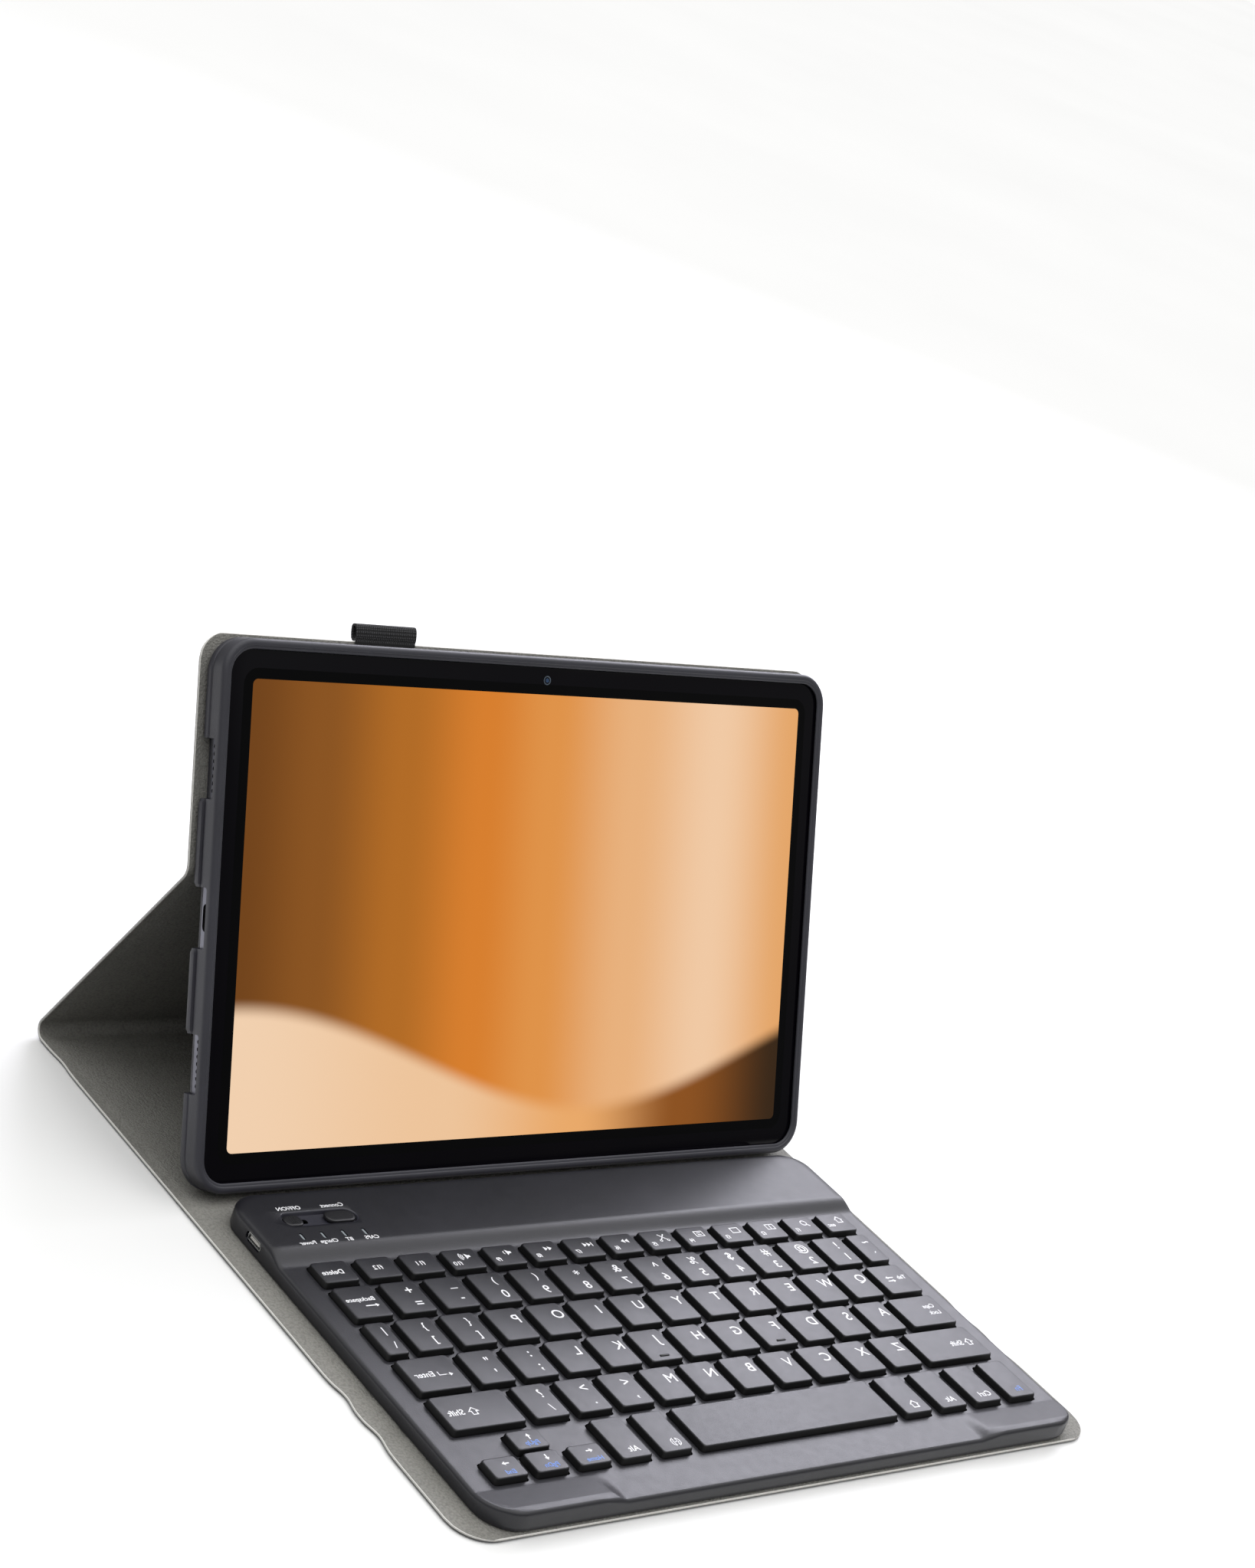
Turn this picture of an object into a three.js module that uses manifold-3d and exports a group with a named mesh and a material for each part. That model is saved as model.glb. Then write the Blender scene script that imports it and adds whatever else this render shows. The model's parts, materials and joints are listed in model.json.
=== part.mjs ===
// Folding keyboard case for an 11 inch tablet, standing open with the tablet in place.
// Millimetres. +X is the viewer's right, +Y runs from the front edge to the rear fold,
// +Z is up and the desk is z = 0.
import * as THREE from 'three'
import { mergeVertices } from 'three/addons/utils/BufferGeometryUtils.js'
import Module from 'manifold-3d'

const wasm = await Module()
wasm.setup()

// Cover: one leather sheet with stiff panels, named from the front edge to the top edge.
const COVER_WIDTH = 265
const COVER_THICKNESS = 1.5
const FOLD_HALF = 1.2
const REAR_FOLD_HALF = 2.0
const FLAP_LENGTH = 48.6
const STRIP_LENGTH = 18.2
const BASE_LENGTH = 179
const SPINE_LENGTH = 20.6
const PROP_LENGTH = 104.5
const BACK_LENGTH = 75.1
const FLAP_CORNER = 12
const BACK_CORNER = 9
const SPACING = 0.3

// The rest frame puts the middle of the footprint at the origin.
const FRONT_Y = -133.02
const FLAP_AXIS_Y = FRONT_Y + FLAP_LENGTH
const STRIP_AXIS_Y = FLAP_AXIS_Y + STRIP_LENGTH
const SPINE_AXIS_Y = STRIP_AXIS_Y + BASE_LENGTH
const REAR_AXIS_Y = SPINE_AXIS_Y + SPINE_LENGTH
const AXIS_Z = COVER_THICKNESS / 2

// Tablet: an ordinary 11 inch tablet, measured along its own edges.
const TABLET_WIDTH = 257.1
const TABLET_HEIGHT = 168.7
const TABLET_DEPTH = 6.9
const TABLET_CORNER = 9
const GLASS_DEPTH = 0.8
const TABLET_LEAN = 25

// Soft moulded shell that holds the tablet on the back panel.
const SHELL_WALL = 2.0
const SHELL_SIDE_WALL = 1.7
const SHELL_BACK = 1.2
const SHELL_LIP_DEPTH = 1.0
const SHELL_LIP_COVER = 1.2
const SHELL_ROUND = 1.4
const SHELL_BOTTOM = -99.3

// Keyboard.
const BOARD_WIDTH = 247
const BOARD_LENGTH = 156
const BOARD_FRONT_Y = FRONT_Y + 0.6
const BOARD_Z = COVER_THICKNESS + SPACING
const DECK_BASE = 1.2
const DECK_TOP = 4.9
const DECK_SKIN = 0.9
const HUMP_TOP = 7.5
const HUMP_INNER = 5.6
const HUMP_FOOT_Y = 120.5
const HUMP_BROW_Y = 126.5
const RIM_TOP = 6.5
const RIM_INNER_Y = 11
const BOARD_WALL = 1.6
const BOARD_FRONT_CORNER = 12
const BOARD_REAR_CORNER = 10
const BOTTOM_THICKNESS = 0.9

// Keys: widths and positions are those of the flat tops.
const KEY_BLOCK_WIDTH = 228
const KEY_PITCH = 16.8
const KEY_WIDTH = 12.8
const KEY_DEPTH = 15.2
const KEY_TOP = 7.0
const KEY_BOTTOM = 3.4
const KEY_SKIRT = 0.6
const KEY_CLEARANCE = 0.35
const KEY_CORNER = 1.0
const WEB_WIDTH = 2.2
const WEB_BOTTOM = 3.1
const WEB_TOP = 3.7
const ROW_BOTTOMS = { 1: 109.0, 2: 90.9, 3: 72.95, 4: 55.0, 5: 37.05, 6: 15.1 }
const SHORT_KEY_DEPTH = 10.0
const TALL_KEY_DEPTH = 18.2

const LEATHER = { color: '#3a3a3d', roughness: 0.7, metalness: 0 }
const SOFT_SHELL = { color: '#3d3d45', roughness: 0.5, metalness: 0 }
const KEY_PLASTIC = { color: '#4a4a50', roughness: 0.45, metalness: 0 }
const DECK_PLASTIC = { color: '#424247', roughness: 0.4, metalness: 0 }

const group = new THREE.Group()
group.name = 'tablet_keyboard_case'

function addMesh(name, geometry, finish, parentMatrix) {
  const placed = geometry.clone()
  if (parentMatrix) {
    placed.applyMatrix4(parentMatrix)
  }
  placed.computeVertexNormals()
  const mesh = new THREE.Mesh(placed, new THREE.MeshStandardMaterial(finish))
  mesh.name = name
  group.add(mesh)
}

function weld(geometry) {
  const bare = geometry.clone()
  bare.deleteAttribute('normal')
  bare.deleteAttribute('uv')
  return mergeVertices(bare, 1e-4)
}

function solid(geometry) {
  const welded = weld(geometry)
  return new wasm.Manifold(new wasm.Mesh({
    numProp: 3,
    vertProperties: new Float32Array(welded.attributes.position.array),
    triVerts: new Uint32Array(welded.index.array),
  }))
}

function fromSolid(manifold) {
  const mesh = manifold.getMesh()
  const geometry = new THREE.BufferGeometry()
  geometry.setAttribute('position', new THREE.BufferAttribute(new Float32Array(mesh.vertProperties), 3))
  geometry.setIndex(new THREE.BufferAttribute(new Uint32Array(mesh.triVerts), 1))
  return geometry
}

// Rectangle with a radius for each corner: front left, front right, rear right, rear left.
function roundedOutline(x0, y0, x1, y1, radii, segments) {
  const corners = [
    [x0 + radii[0], y0 + radii[0], radii[0], Math.PI],
    [x1 - radii[1], y0 + radii[1], radii[1], 1.5 * Math.PI],
    [x1 - radii[2], y1 - radii[2], radii[2], 0],
    [x0 + radii[3], y1 - radii[3], radii[3], 0.5 * Math.PI],
  ]
  const points = []
  for (const [cx, cy, radius, start] of corners) {
    const steps = radius > 0 ? segments : 0
    for (let i = 0; i <= steps; i += 1) {
      const angle = start + (steps ? (i / steps) * 0.5 * Math.PI : 0)
      points.push(new THREE.Vector2(cx + radius * Math.cos(angle), cy + radius * Math.sin(angle)))
    }
  }
  return points
}

function slab(points, z0, z1) {
  const geometry = new THREE.ExtrudeGeometry(new THREE.Shape(points), { depth: z1 - z0, bevelEnabled: false })
  geometry.translate(0, 0, z0)
  return weld(geometry)
}

function roundedSlab(x0, y0, x1, y1, radius, z0, z1, segments = 5) {
  return slab(roundedOutline(x0, y0, x1, y1, [radius, radius, radius, radius], segments), z0, z1)
}

function block(x0, x1, y0, y1, z0, z1) {
  const geometry = new THREE.BoxGeometry(x1 - x0, y1 - y0, z1 - z0)
  geometry.translate((x0 + x1) / 2, (y0 + y1) / 2, (z0 + z1) / 2)
  return weld(geometry)
}

// A side profile given as [y, z] pairs, drawn out along X.
function alongX(profile, x0, x1) {
  const shape = new THREE.Shape(profile.map(([y, z]) => new THREE.Vector2(y, z)))
  const geometry = new THREE.ExtrudeGeometry(shape, { depth: x1 - x0, bevelEnabled: false })
  geometry.applyMatrix4(new THREE.Matrix4().makeBasis(
    new THREE.Vector3(0, 1, 0), new THREE.Vector3(0, 0, 1), new THREE.Vector3(1, 0, 0)))
  geometry.translate(x0, 0, 0)
  return weld(geometry)
}

// A closed solid between two rings of points that match one to one.
function loft(lower, upper) {
  const count = lower.length
  const positions = [...lower, ...upper].flat()
  const index = []
  for (let i = 0; i < count; i += 1) {
    const next = (i + 1) % count
    index.push(i, next, count + next, i, count + next, count + i)
  }
  for (let i = 1; i < count - 1; i += 1) {
    index.push(0, i + 1, i)
    index.push(count, count + i, count + i + 1)
  }
  const geometry = new THREE.BufferGeometry()
  geometry.setAttribute('position', new THREE.BufferAttribute(new Float32Array(positions), 3))
  geometry.setIndex(index)
  return geometry
}

// ---------------------------------------------------------------- cover, lying panels
const halfCover = COVER_WIDTH / 2

function coverPanel(name, y0, y1, radii) {
  const outline = roundedOutline(-halfCover, y0, halfCover, y1, radii, 6)
  addMesh(name, slab(outline, 0, COVER_THICKNESS), LEATHER)
}

coverPanel('cover_flap', FRONT_Y, FLAP_AXIS_Y - FOLD_HALF, [FLAP_CORNER, FLAP_CORNER, 0, 0])
coverPanel('cover_front_strip', FLAP_AXIS_Y + FOLD_HALF, STRIP_AXIS_Y - FOLD_HALF, [0, 0, 0, 0])
coverPanel('cover_base_panel', STRIP_AXIS_Y + FOLD_HALF, SPINE_AXIS_Y - FOLD_HALF, [0, 0, 0, 0])
coverPanel('cover_spine', SPINE_AXIS_Y + FOLD_HALF, REAR_AXIS_Y - REAR_FOLD_HALF, [0, 0, 0, 0])

// ---------------------------------------------------------------- cover, standing panels
// The shell's lowest corner clears the base panel, and that sets the height of the back fold.
const lean = THREE.MathUtils.degToRad(TABLET_LEAN)
const shellBackZ = COVER_THICKNESS / 2 + SPACING
const footDrop = SHELL_BOTTOM * Math.cos(lean) + (shellBackZ + SHELL_ROUND) * Math.sin(lean)
const foldZ = COVER_THICKNESS + SPACING - footDrop
const propRise = Math.asin((foldZ - AXIS_Z) / PROP_LENGTH)
const foldY = REAR_AXIS_Y - PROP_LENGTH * Math.cos(propRise)

// Local frame of the standing panels: y runs up the panel and z faces the viewer.
const backFrame = new THREE.Matrix4().makeBasis(
  new THREE.Vector3(1, 0, 0),
  new THREE.Vector3(0, Math.sin(lean), Math.cos(lean)),
  new THREE.Vector3(0, -Math.cos(lean), Math.sin(lean))).setPosition(0, foldY, foldZ)
const propFrame = new THREE.Matrix4().makeBasis(
  new THREE.Vector3(1, 0, 0),
  new THREE.Vector3(0, -Math.cos(propRise), Math.sin(propRise)),
  new THREE.Vector3(0, -Math.sin(propRise), -Math.cos(propRise))).setPosition(0, REAR_AXIS_Y, AXIS_Z)

addMesh('cover_prop_panel',
  block(-halfCover, halfCover, REAR_FOLD_HALF, PROP_LENGTH - FOLD_HALF, -AXIS_Z, AXIS_Z), LEATHER, propFrame)

const CAMERA_X = 106
const CAMERA_Y = 58
const CAMERA_HALF = 9
const backOutline = roundedOutline(-halfCover, FOLD_HALF, halfCover, BACK_LENGTH,
  [0, 0, BACK_CORNER, BACK_CORNER], 6)
const cameraOpening = roundedSlab(CAMERA_X - CAMERA_HALF, CAMERA_Y - CAMERA_HALF,
  CAMERA_X + CAMERA_HALF, CAMERA_Y + CAMERA_HALF, 4, -2, 2.4, 3)
const backPanel = solid(slab(backOutline, -AXIS_Z, AXIS_Z)).subtract(solid(cameraOpening))
addMesh('cover_back_panel', fromSolid(backPanel), LEATHER, backFrame)

// Elastic pen loop: a flattened sleeve standing on the top edge of the back panel.
const LOOP_X0 = -74
const LOOP_X1 = -50
const LOOP_HEIGHT = 5.4
const LOOP_DEPTH = 3.2
const LOOP_WALL = 0.8
const loopY = BACK_LENGTH + SPACING

function sleeve(inset, x0, x1) {
  const y0 = loopY + inset
  const y1 = loopY + LOOP_HEIGHT - inset
  const half = LOOP_DEPTH / 2 - inset
  const outline = roundedOutline(y0, -half, y1, half, [half, half, half, half].map((v) => v * 0.9), 3)
  return alongX(outline.map((point) => [point.x, point.y]), x0, x1)
}

const penLoop = solid(sleeve(0, LOOP_X0, LOOP_X1)).subtract(solid(sleeve(LOOP_WALL, LOOP_X0 - 1, LOOP_X1 + 1)))
addMesh('pen_loop', fromSolid(penLoop), { color: '#1b1b1d', roughness: 0.9, metalness: 0 }, backFrame)

// ---------------------------------------------------------------- tablet and its shell
const halfTablet = TABLET_WIDTH / 2
const tabletY0 = SHELL_BOTTOM + SHELL_WALL + SPACING
const tabletY1 = tabletY0 + TABLET_HEIGHT
const tabletZ0 = shellBackZ + SHELL_BACK + SPACING
const tabletZ1 = tabletZ0 + TABLET_DEPTH

const halfShell = halfTablet + SPACING + SHELL_SIDE_WALL
const shellTop = tabletY1 + SPACING + SHELL_WALL
const lipZ = tabletZ1 + SPACING
const shellZ1 = lipZ + SHELL_LIP_DEPTH

function tabletPrism(grow, radius, z0, z1) {
  return roundedSlab(-halfTablet - grow, tabletY0 - grow, halfTablet + grow, tabletY1 + grow, radius, z0, z1)
}

const shellShape = new THREE.Shape(roundedOutline(
  -halfShell + SHELL_ROUND, SHELL_BOTTOM + SHELL_ROUND, halfShell - SHELL_ROUND, shellTop - SHELL_ROUND,
  [10, 10, 10, 10], 5))
const shellOuter = new THREE.ExtrudeGeometry(shellShape, {
  depth: shellZ1 - shellBackZ - 2 * SHELL_ROUND,
  bevelEnabled: true,
  bevelSize: SHELL_ROUND,
  bevelThickness: SHELL_ROUND,
  bevelSegments: 2,
})
shellOuter.translate(0, 0, shellBackZ + SHELL_ROUND)

// Side openings, measured up from the lower edge of the tablet. They run out through the back.
const SPEAKER_SLOTS = [[28.9, 47.6], [120.5, 139.3]]
const PORT_SLOT = [74.0, 93.2]
const KEY_SLOT = [90, 116]
const slotZ0 = tabletZ0 + 0.4
const slotZ1 = tabletZ1 - 1.4

let shell = solid(shellOuter)
shell = shell.subtract(solid(tabletPrism(SPACING, TABLET_CORNER + SPACING, tabletZ0 - SPACING, lipZ)))
shell = shell.subtract(solid(tabletPrism(-SHELL_LIP_COVER, TABLET_CORNER - 1, lipZ - 0.5, shellZ1 + 1)))
for (const side of [-1, 1]) {
  const slots = side < 0 ? [...SPEAKER_SLOTS, PORT_SLOT] : SPEAKER_SLOTS
  for (const [low, high] of slots) {
    const inner = side * (halfTablet - 1)
    const outer = side * (halfShell + 2)
    shell = shell.subtract(solid(block(Math.min(inner, outer), Math.max(inner, outer),
      tabletY0 + low, tabletY0 + high, shellBackZ - 1, slotZ1)))
  }
}
shell = shell.subtract(solid(block(KEY_SLOT[0], KEY_SLOT[1], tabletY1 - 1, shellTop + 2, slotZ0, slotZ1)))
shell = shell.subtract(solid(cameraOpening))
addMesh('tablet_shell', fromSolid(shell), SOFT_SHELL, backFrame)

const bodyTop = tabletZ1 - GLASS_DEPTH - SPACING
addMesh('tablet_body', tabletPrism(0, TABLET_CORNER, tabletZ0, bodyTop),
  { color: '#8b8a93', roughness: 0.35, metalness: 0.9 }, backFrame)
addMesh('tablet_glass', tabletPrism(-0.4, TABLET_CORNER - 0.4, bodyTop + SPACING, tabletZ1),
  { color: '#0b0b10', roughness: 0.06, metalness: 0 }, backFrame)

// ---------------------------------------------------------------- keyboard
const boardFrame = new THREE.Matrix4().makeTranslation(0, BOARD_FRONT_Y, BOARD_Z)
const halfBoard = BOARD_WIDTH / 2

// Key tops as [name, left, width, bottom, depth]; left is measured from the left of the key block.
const keys = []

function addKeyRow(row, start, names, width, pitch, depth) {
  names.forEach((name, i) => {
    keys.push({ name, x: start + i * pitch, width, y: ROW_BOTTOMS[row], depth })
  })
}

function addKey(row, name, x, width, depth = KEY_DEPTH) {
  keys.push({ name, x, width, y: ROW_BOTTOMS[row], depth })
}

const SHORT_KEY_WIDTH = 12.6
const SHORT_KEY_PITCH = (KEY_BLOCK_WIDTH - SHORT_KEY_WIDTH) / 13
addKey(1, 'delete', 0, SHORT_KEY_WIDTH, SHORT_KEY_DEPTH)
addKeyRow(1, SHORT_KEY_PITCH, [12, 11, 10, 9, 8, 7, 6, 5, 4, 3, 2, 1].map((n) => `f${n}`),
  SHORT_KEY_WIDTH, SHORT_KEY_PITCH, SHORT_KEY_DEPTH)
addKey(1, 'escape', KEY_BLOCK_WIDTH - SHORT_KEY_WIDTH, SHORT_KEY_WIDTH, SHORT_KEY_DEPTH)

addKey(2, 'backspace', 0, 13.6)
addKeyRow(2, 17.5, ['equals', 'minus', 'n0', 'n9', 'n8', 'n7', 'n6', 'n5', 'n4', 'n3', 'n2', 'n1'],
  KEY_WIDTH, KEY_PITCH, KEY_DEPTH)
addKey(2, 'grave', 219, 9)

addKey(3, 'backslash', 0, 7.6)
addKeyRow(3, 11.6, ['bracket_right', 'bracket_left', 'p', 'o', 'i', 'u', 'y', 't', 'r', 'e', 'w', 'q'],
  KEY_WIDTH, KEY_PITCH, KEY_DEPTH)
addKey(3, 'tab', 213.1, 14.9)

addKey(4, 'enter', 0, 18.8)
addKeyRow(4, 22.8, ['quote', 'semicolon', 'l', 'k', 'j', 'h', 'g', 'f', 'd', 's', 'a'],
  KEY_WIDTH, KEY_PITCH, KEY_DEPTH)
addKey(4, 'caps', 207.5, 20.5)

addKey(5, 'shift_left', 0, 26.6)
addKeyRow(5, 30.6, ['slash', 'period', 'comma', 'm', 'n', 'b', 'v', 'c', 'x', 'z'],
  KEY_WIDTH, KEY_PITCH, KEY_DEPTH)
addKey(5, 'shift_right', 198.6, 29.4)

const ARROW_WIDTH = 11.7
const ARROW_DEPTH = 8.6
addKey(6, 'arrow_left', 0, ARROW_WIDTH, ARROW_DEPTH)
addKey(6, 'arrow_down', 15.3, ARROW_WIDTH, ARROW_DEPTH)
addKey(6, 'arrow_right', 31.4, ARROW_WIDTH, ARROW_DEPTH)
keys.push({
  name: 'arrow_up', x: 15.3, width: ARROW_WIDTH, y: ROW_BOTTOMS[6] + TALL_KEY_DEPTH - 8.0, depth: 8.0,
})
addKeyRow(6, 47.4, ['alt_left', 'globe'], 11.4, 16.1, TALL_KEY_DEPTH)
addKey(6, 'space', 79.6, 83.4, TALL_KEY_DEPTH)
addKeyRow(6, 167.2, ['home', 'alt_right', 'control', 'fn'], 11.6, 16.4, TALL_KEY_DEPTH)

const keyByName = Object.fromEntries(keys.map((key) => [key.name, key]))

// Eight sided ring round a key top, grown by a margin.
function keyRing(key, margin, z) {
  const x0 = key.x - KEY_BLOCK_WIDTH / 2 - margin
  const x1 = key.x - KEY_BLOCK_WIDTH / 2 + key.width + margin
  const y0 = key.y - margin
  const y1 = key.y + key.depth + margin
  const c = KEY_CORNER
  return [
    [x0 + c, y0, z], [x1 - c, y0, z], [x1, y0 + c, z], [x1, y1 - c, z],
    [x1 - c, y1, z], [x0 + c, y1, z], [x0, y1 - c, z], [x0, y0 + c, z],
  ]
}

function keyCap(key) {
  return loft(keyRing(key, KEY_SKIRT, KEY_BOTTOM), keyRing(key, 0, KEY_TOP))
}

function keyHole(key) {
  const margin = KEY_SKIRT + KEY_CLEARANCE
  return loft(keyRing(key, margin, DECK_TOP - DECK_SKIN - 1), keyRing(key, margin, DECK_TOP + 1))
}

const boardOutline = roundedOutline(-halfBoard, 0, halfBoard, BOARD_LENGTH,
  [BOARD_FRONT_CORNER, BOARD_FRONT_CORNER, BOARD_REAR_CORNER, BOARD_REAR_CORNER], 5)
const boardInner = roundedOutline(-halfBoard + BOARD_WALL, BOARD_WALL, halfBoard - BOARD_WALL,
  BOARD_LENGTH - BOARD_WALL, [10, 10, 8, 8], 4)

const deckProfile = [
  [0, DECK_BASE], [BOARD_LENGTH, DECK_BASE], [BOARD_LENGTH, HUMP_TOP - 2.2], [BOARD_LENGTH - 0.8, HUMP_TOP - 0.8],
  [BOARD_LENGTH - 2.6, HUMP_TOP], [HUMP_BROW_Y, HUMP_TOP], [HUMP_BROW_Y - 2, HUMP_TOP - 0.5],
  [HUMP_FOOT_Y + 1.4, DECK_TOP + 0.3], [HUMP_FOOT_Y, DECK_TOP], [4, DECK_TOP], [0.8, DECK_TOP - 0.3],
  [0, DECK_TOP - 1.1],
]
const cavityProfile = [
  [BOARD_WALL, DECK_BASE - 1], [BOARD_LENGTH - BOARD_WALL, DECK_BASE - 1],
  [BOARD_LENGTH - BOARD_WALL, HUMP_INNER - 1], [BOARD_LENGTH - BOARD_WALL - 1, HUMP_INNER],
  [HUMP_BROW_Y + 1, HUMP_INNER], [HUMP_FOOT_Y + 2.4, DECK_TOP - DECK_SKIN], [BOARD_WALL, DECK_TOP - DECK_SKIN],
]

// Raised palm rims at both front corners, fading out toward the middle.
const RIM_FULL_X = 81
const RIM_END_X = 74.5
const rimProfile = [
  [0, 4.2], [RIM_INNER_Y, 4.2], [RIM_INNER_Y, DECK_TOP], [3.2, RIM_TOP], [0.8, RIM_TOP - 0.1], [0, RIM_TOP - 0.8],
]
const rimFade = [
  [0.4, 3], [8, 3], [8, DECK_TOP - 0.2], [3.2, DECK_TOP - 0.2], [1.2, DECK_TOP - 0.5], [0.4, DECK_TOP - 1.3],
]

function rim(side) {
  const ring = (profile, x) => profile.map(([y, z]) => [side * x, y, z])
  const outer = ring(rimProfile, halfBoard + 1)
  const full = ring(rimProfile, RIM_FULL_X)
  const end = ring(rimFade, RIM_END_X)
  if (side > 0) {
    return solid(loft(full, outer)).add(solid(loft(end, full)))
  }
  return solid(loft(outer, full)).add(solid(loft(full, end)))
}

// Shallow tray on the hump for the power switch and the connect button.
const TRAY = { x0: -111, x1: -83, y0: 137.2, y1: 144.2, floor: 6.2 }
const LIGHT_PITCH = 7.9
const LIGHT_X0 = -109
const LIGHT_Y0 = 130.2
const LIGHT_Y1 = 133.4
const LIGHT_HALF = 0.6
const PORT_Y0 = 132.2
const PORT_Y1 = 139.8
const PORT_Z0 = 2.6
const PORT_Z1 = 5.2

let deck = solid(alongX(deckProfile, -halfBoard - 1, halfBoard + 1)).add(rim(-1)).add(rim(1))
deck = deck.intersect(solid(slab(boardOutline, 0, 12)))
deck = deck.subtract(solid(alongX(cavityProfile, -halfBoard, halfBoard)).intersect(solid(slab(boardInner, 0, 12))))
const holes = keys.map((key) => solid(keyHole(key)))
deck = deck.subtract(wasm.Manifold.compose(holes))
deck = deck.subtract(solid(roundedSlab(TRAY.x0, TRAY.y0, TRAY.x1, TRAY.y1, 3, TRAY.floor, 9, 3)))
deck = deck.subtract(solid(block(-108.8, -101.2, 139.6, 141.8, 5, 7)))
deck = deck.subtract(solid(block(-90.6, -87.4, 139.1, 142.3, 5, 7)))
for (let i = 0; i < 4; i += 1) {
  const x = LIGHT_X0 + i * LIGHT_PITCH
  deck = deck.subtract(solid(block(x - LIGHT_HALF - SPACING, x + LIGHT_HALF + SPACING,
    LIGHT_Y0 - SPACING, LIGHT_Y1 + SPACING, 5, 9)))
}
deck = deck.subtract(solid(block(-halfBoard - 1, -halfBoard + 3,
  PORT_Y0 - SPACING, PORT_Y1 + SPACING, PORT_Z0 - SPACING, PORT_Z1 + SPACING)))
addMesh('keyboard_deck', fromSolid(deck), DECK_PLASTIC, boardFrame)

const bottomOutline = roundedOutline(-halfBoard + 0.4, 0.4, halfBoard - 0.4, BOARD_LENGTH - 0.4,
  [BOARD_FRONT_CORNER - 0.4, BOARD_FRONT_CORNER - 0.4, BOARD_REAR_CORNER - 0.4, BOARD_REAR_CORNER - 0.4], 5)
addMesh('keyboard_bottom', slab(bottomOutline, 0, BOTTOM_THICKNESS),
  { color: '#26262a', roughness: 0.55, metalness: 0 }, boardFrame)

const PLATE_Z0 = 1.2
const PLATE_Z1 = 1.7
addMesh('key_plate', block(-116.5, 116.5, 12.5, 121.5, PLATE_Z0, PLATE_Z1),
  { color: '#9a9a9e', roughness: 0.4, metalness: 0.9 }, boardFrame)
addMesh('battery', block(-20, 60, 129, 150, 1.3, 5.1),
  { color: '#b9b9bd', roughness: 0.35, metalness: 0.6 }, boardFrame)
addMesh('circuit_board', block(-116, -40, 128, 150, 1.3, 2.2),
  { color: '#1f5a3a', roughness: 0.5, metalness: 0 }, boardFrame)

// Charging port: a metal mouth behind the opening in the left side wall.
const portMouth = solid(block(-halfBoard + 0.5, -halfBoard + 6.5, PORT_Y0, PORT_Y1, PORT_Z0, PORT_Z1))
  .subtract(solid(block(-halfBoard - 1, -halfBoard + 5.5, PORT_Y0 + 0.4, PORT_Y1 - 0.4, PORT_Z0 + 0.4, PORT_Z1 - 0.4)))
  .add(solid(block(-halfBoard + 1.5, -halfBoard + 6, PORT_Y0 + 1.8, PORT_Y1 - 1.8, 3.7, 4.3)))
addMesh('usb_port', fromSolid(portMouth), { color: '#c9c9cc', roughness: 0.3, metalness: 0.95 }, boardFrame)

const powerKnob = solid(roundedSlab(-110.2, 138.0, -103.6, 143.4, 1.6, 6.5, 7.2, 3))
  .add(solid(block(-108.2, -105.6, 140.0, 141.4, 3.0, 6.6)))
addMesh('power_switch', fromSolid(powerKnob), { color: '#2c2c30', roughness: 0.5, metalness: 0 }, boardFrame)

const connectKnob = solid(roundedSlab(-94.8, 137.8, -83.8, 143.6, 2.8, 6.8, 7.7, 4))
  .add(solid(block(-90.1, -87.9, 139.6, 141.8, 3.0, 6.9)))
addMesh('connect_button', fromSolid(connectKnob), { color: '#3a3a3f', roughness: 0.45, metalness: 0 }, boardFrame)

// Clear light bars that show in four slots of the hump, joined by a strip underneath.
let lights = solid(block(LIGHT_X0 - 1.5, LIGHT_X0 + 3 * LIGHT_PITCH + 1.5, LIGHT_Y0, LIGHT_Y1, 4.6, 5.2))
for (let i = 0; i < 4; i += 1) {
  const x = LIGHT_X0 + i * LIGHT_PITCH
  lights = lights.add(solid(block(x - LIGHT_HALF, x + LIGHT_HALF, LIGHT_Y0, LIGHT_Y1, 4.8, HUMP_TOP - 0.1)))
}
addMesh('status_lights', fromSolid(lights), { color: '#d8dcdc', roughness: 0.3, metalness: 0 }, boardFrame)

// ---------------------------------------------------------------- keys
const SINGLE_KEYS = [
  ...'abcdefghijklmnopqrstuvwxyz', 'space', 'enter', 'shift_left', 'shift_right', 'backspace', 'tab', 'caps',
  'delete', 'escape',
]
for (const name of SINGLE_KEYS) {
  addMesh(`key_${name}`, keyCap(keyByName[name]), KEY_PLASTIC, boardFrame)
}

// Neighbouring keys of a bank are joined under the deck by short straps.
const KEY_BANKS = {
  keys_function: [1, 2, 3, 4, 5, 6, 7, 8, 9, 10, 11, 12].map((n) => `f${n}`),
  keys_number: ['grave', 'n1', 'n2', 'n3', 'n4', 'n5', 'n6', 'n7', 'n8', 'n9', 'n0', 'minus', 'equals'],
  keys_symbols: ['backslash', 'bracket_right', 'bracket_left', 'quote', 'semicolon', 'slash', 'period', 'comma'],
  keys_modifiers_left: ['alt_left', 'globe'],
  keys_modifiers_right: ['home', 'alt_right', 'control', 'fn'],
  keys_arrows: ['arrow_left', 'arrow_down', 'arrow_right', 'arrow_up'],
}

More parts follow.
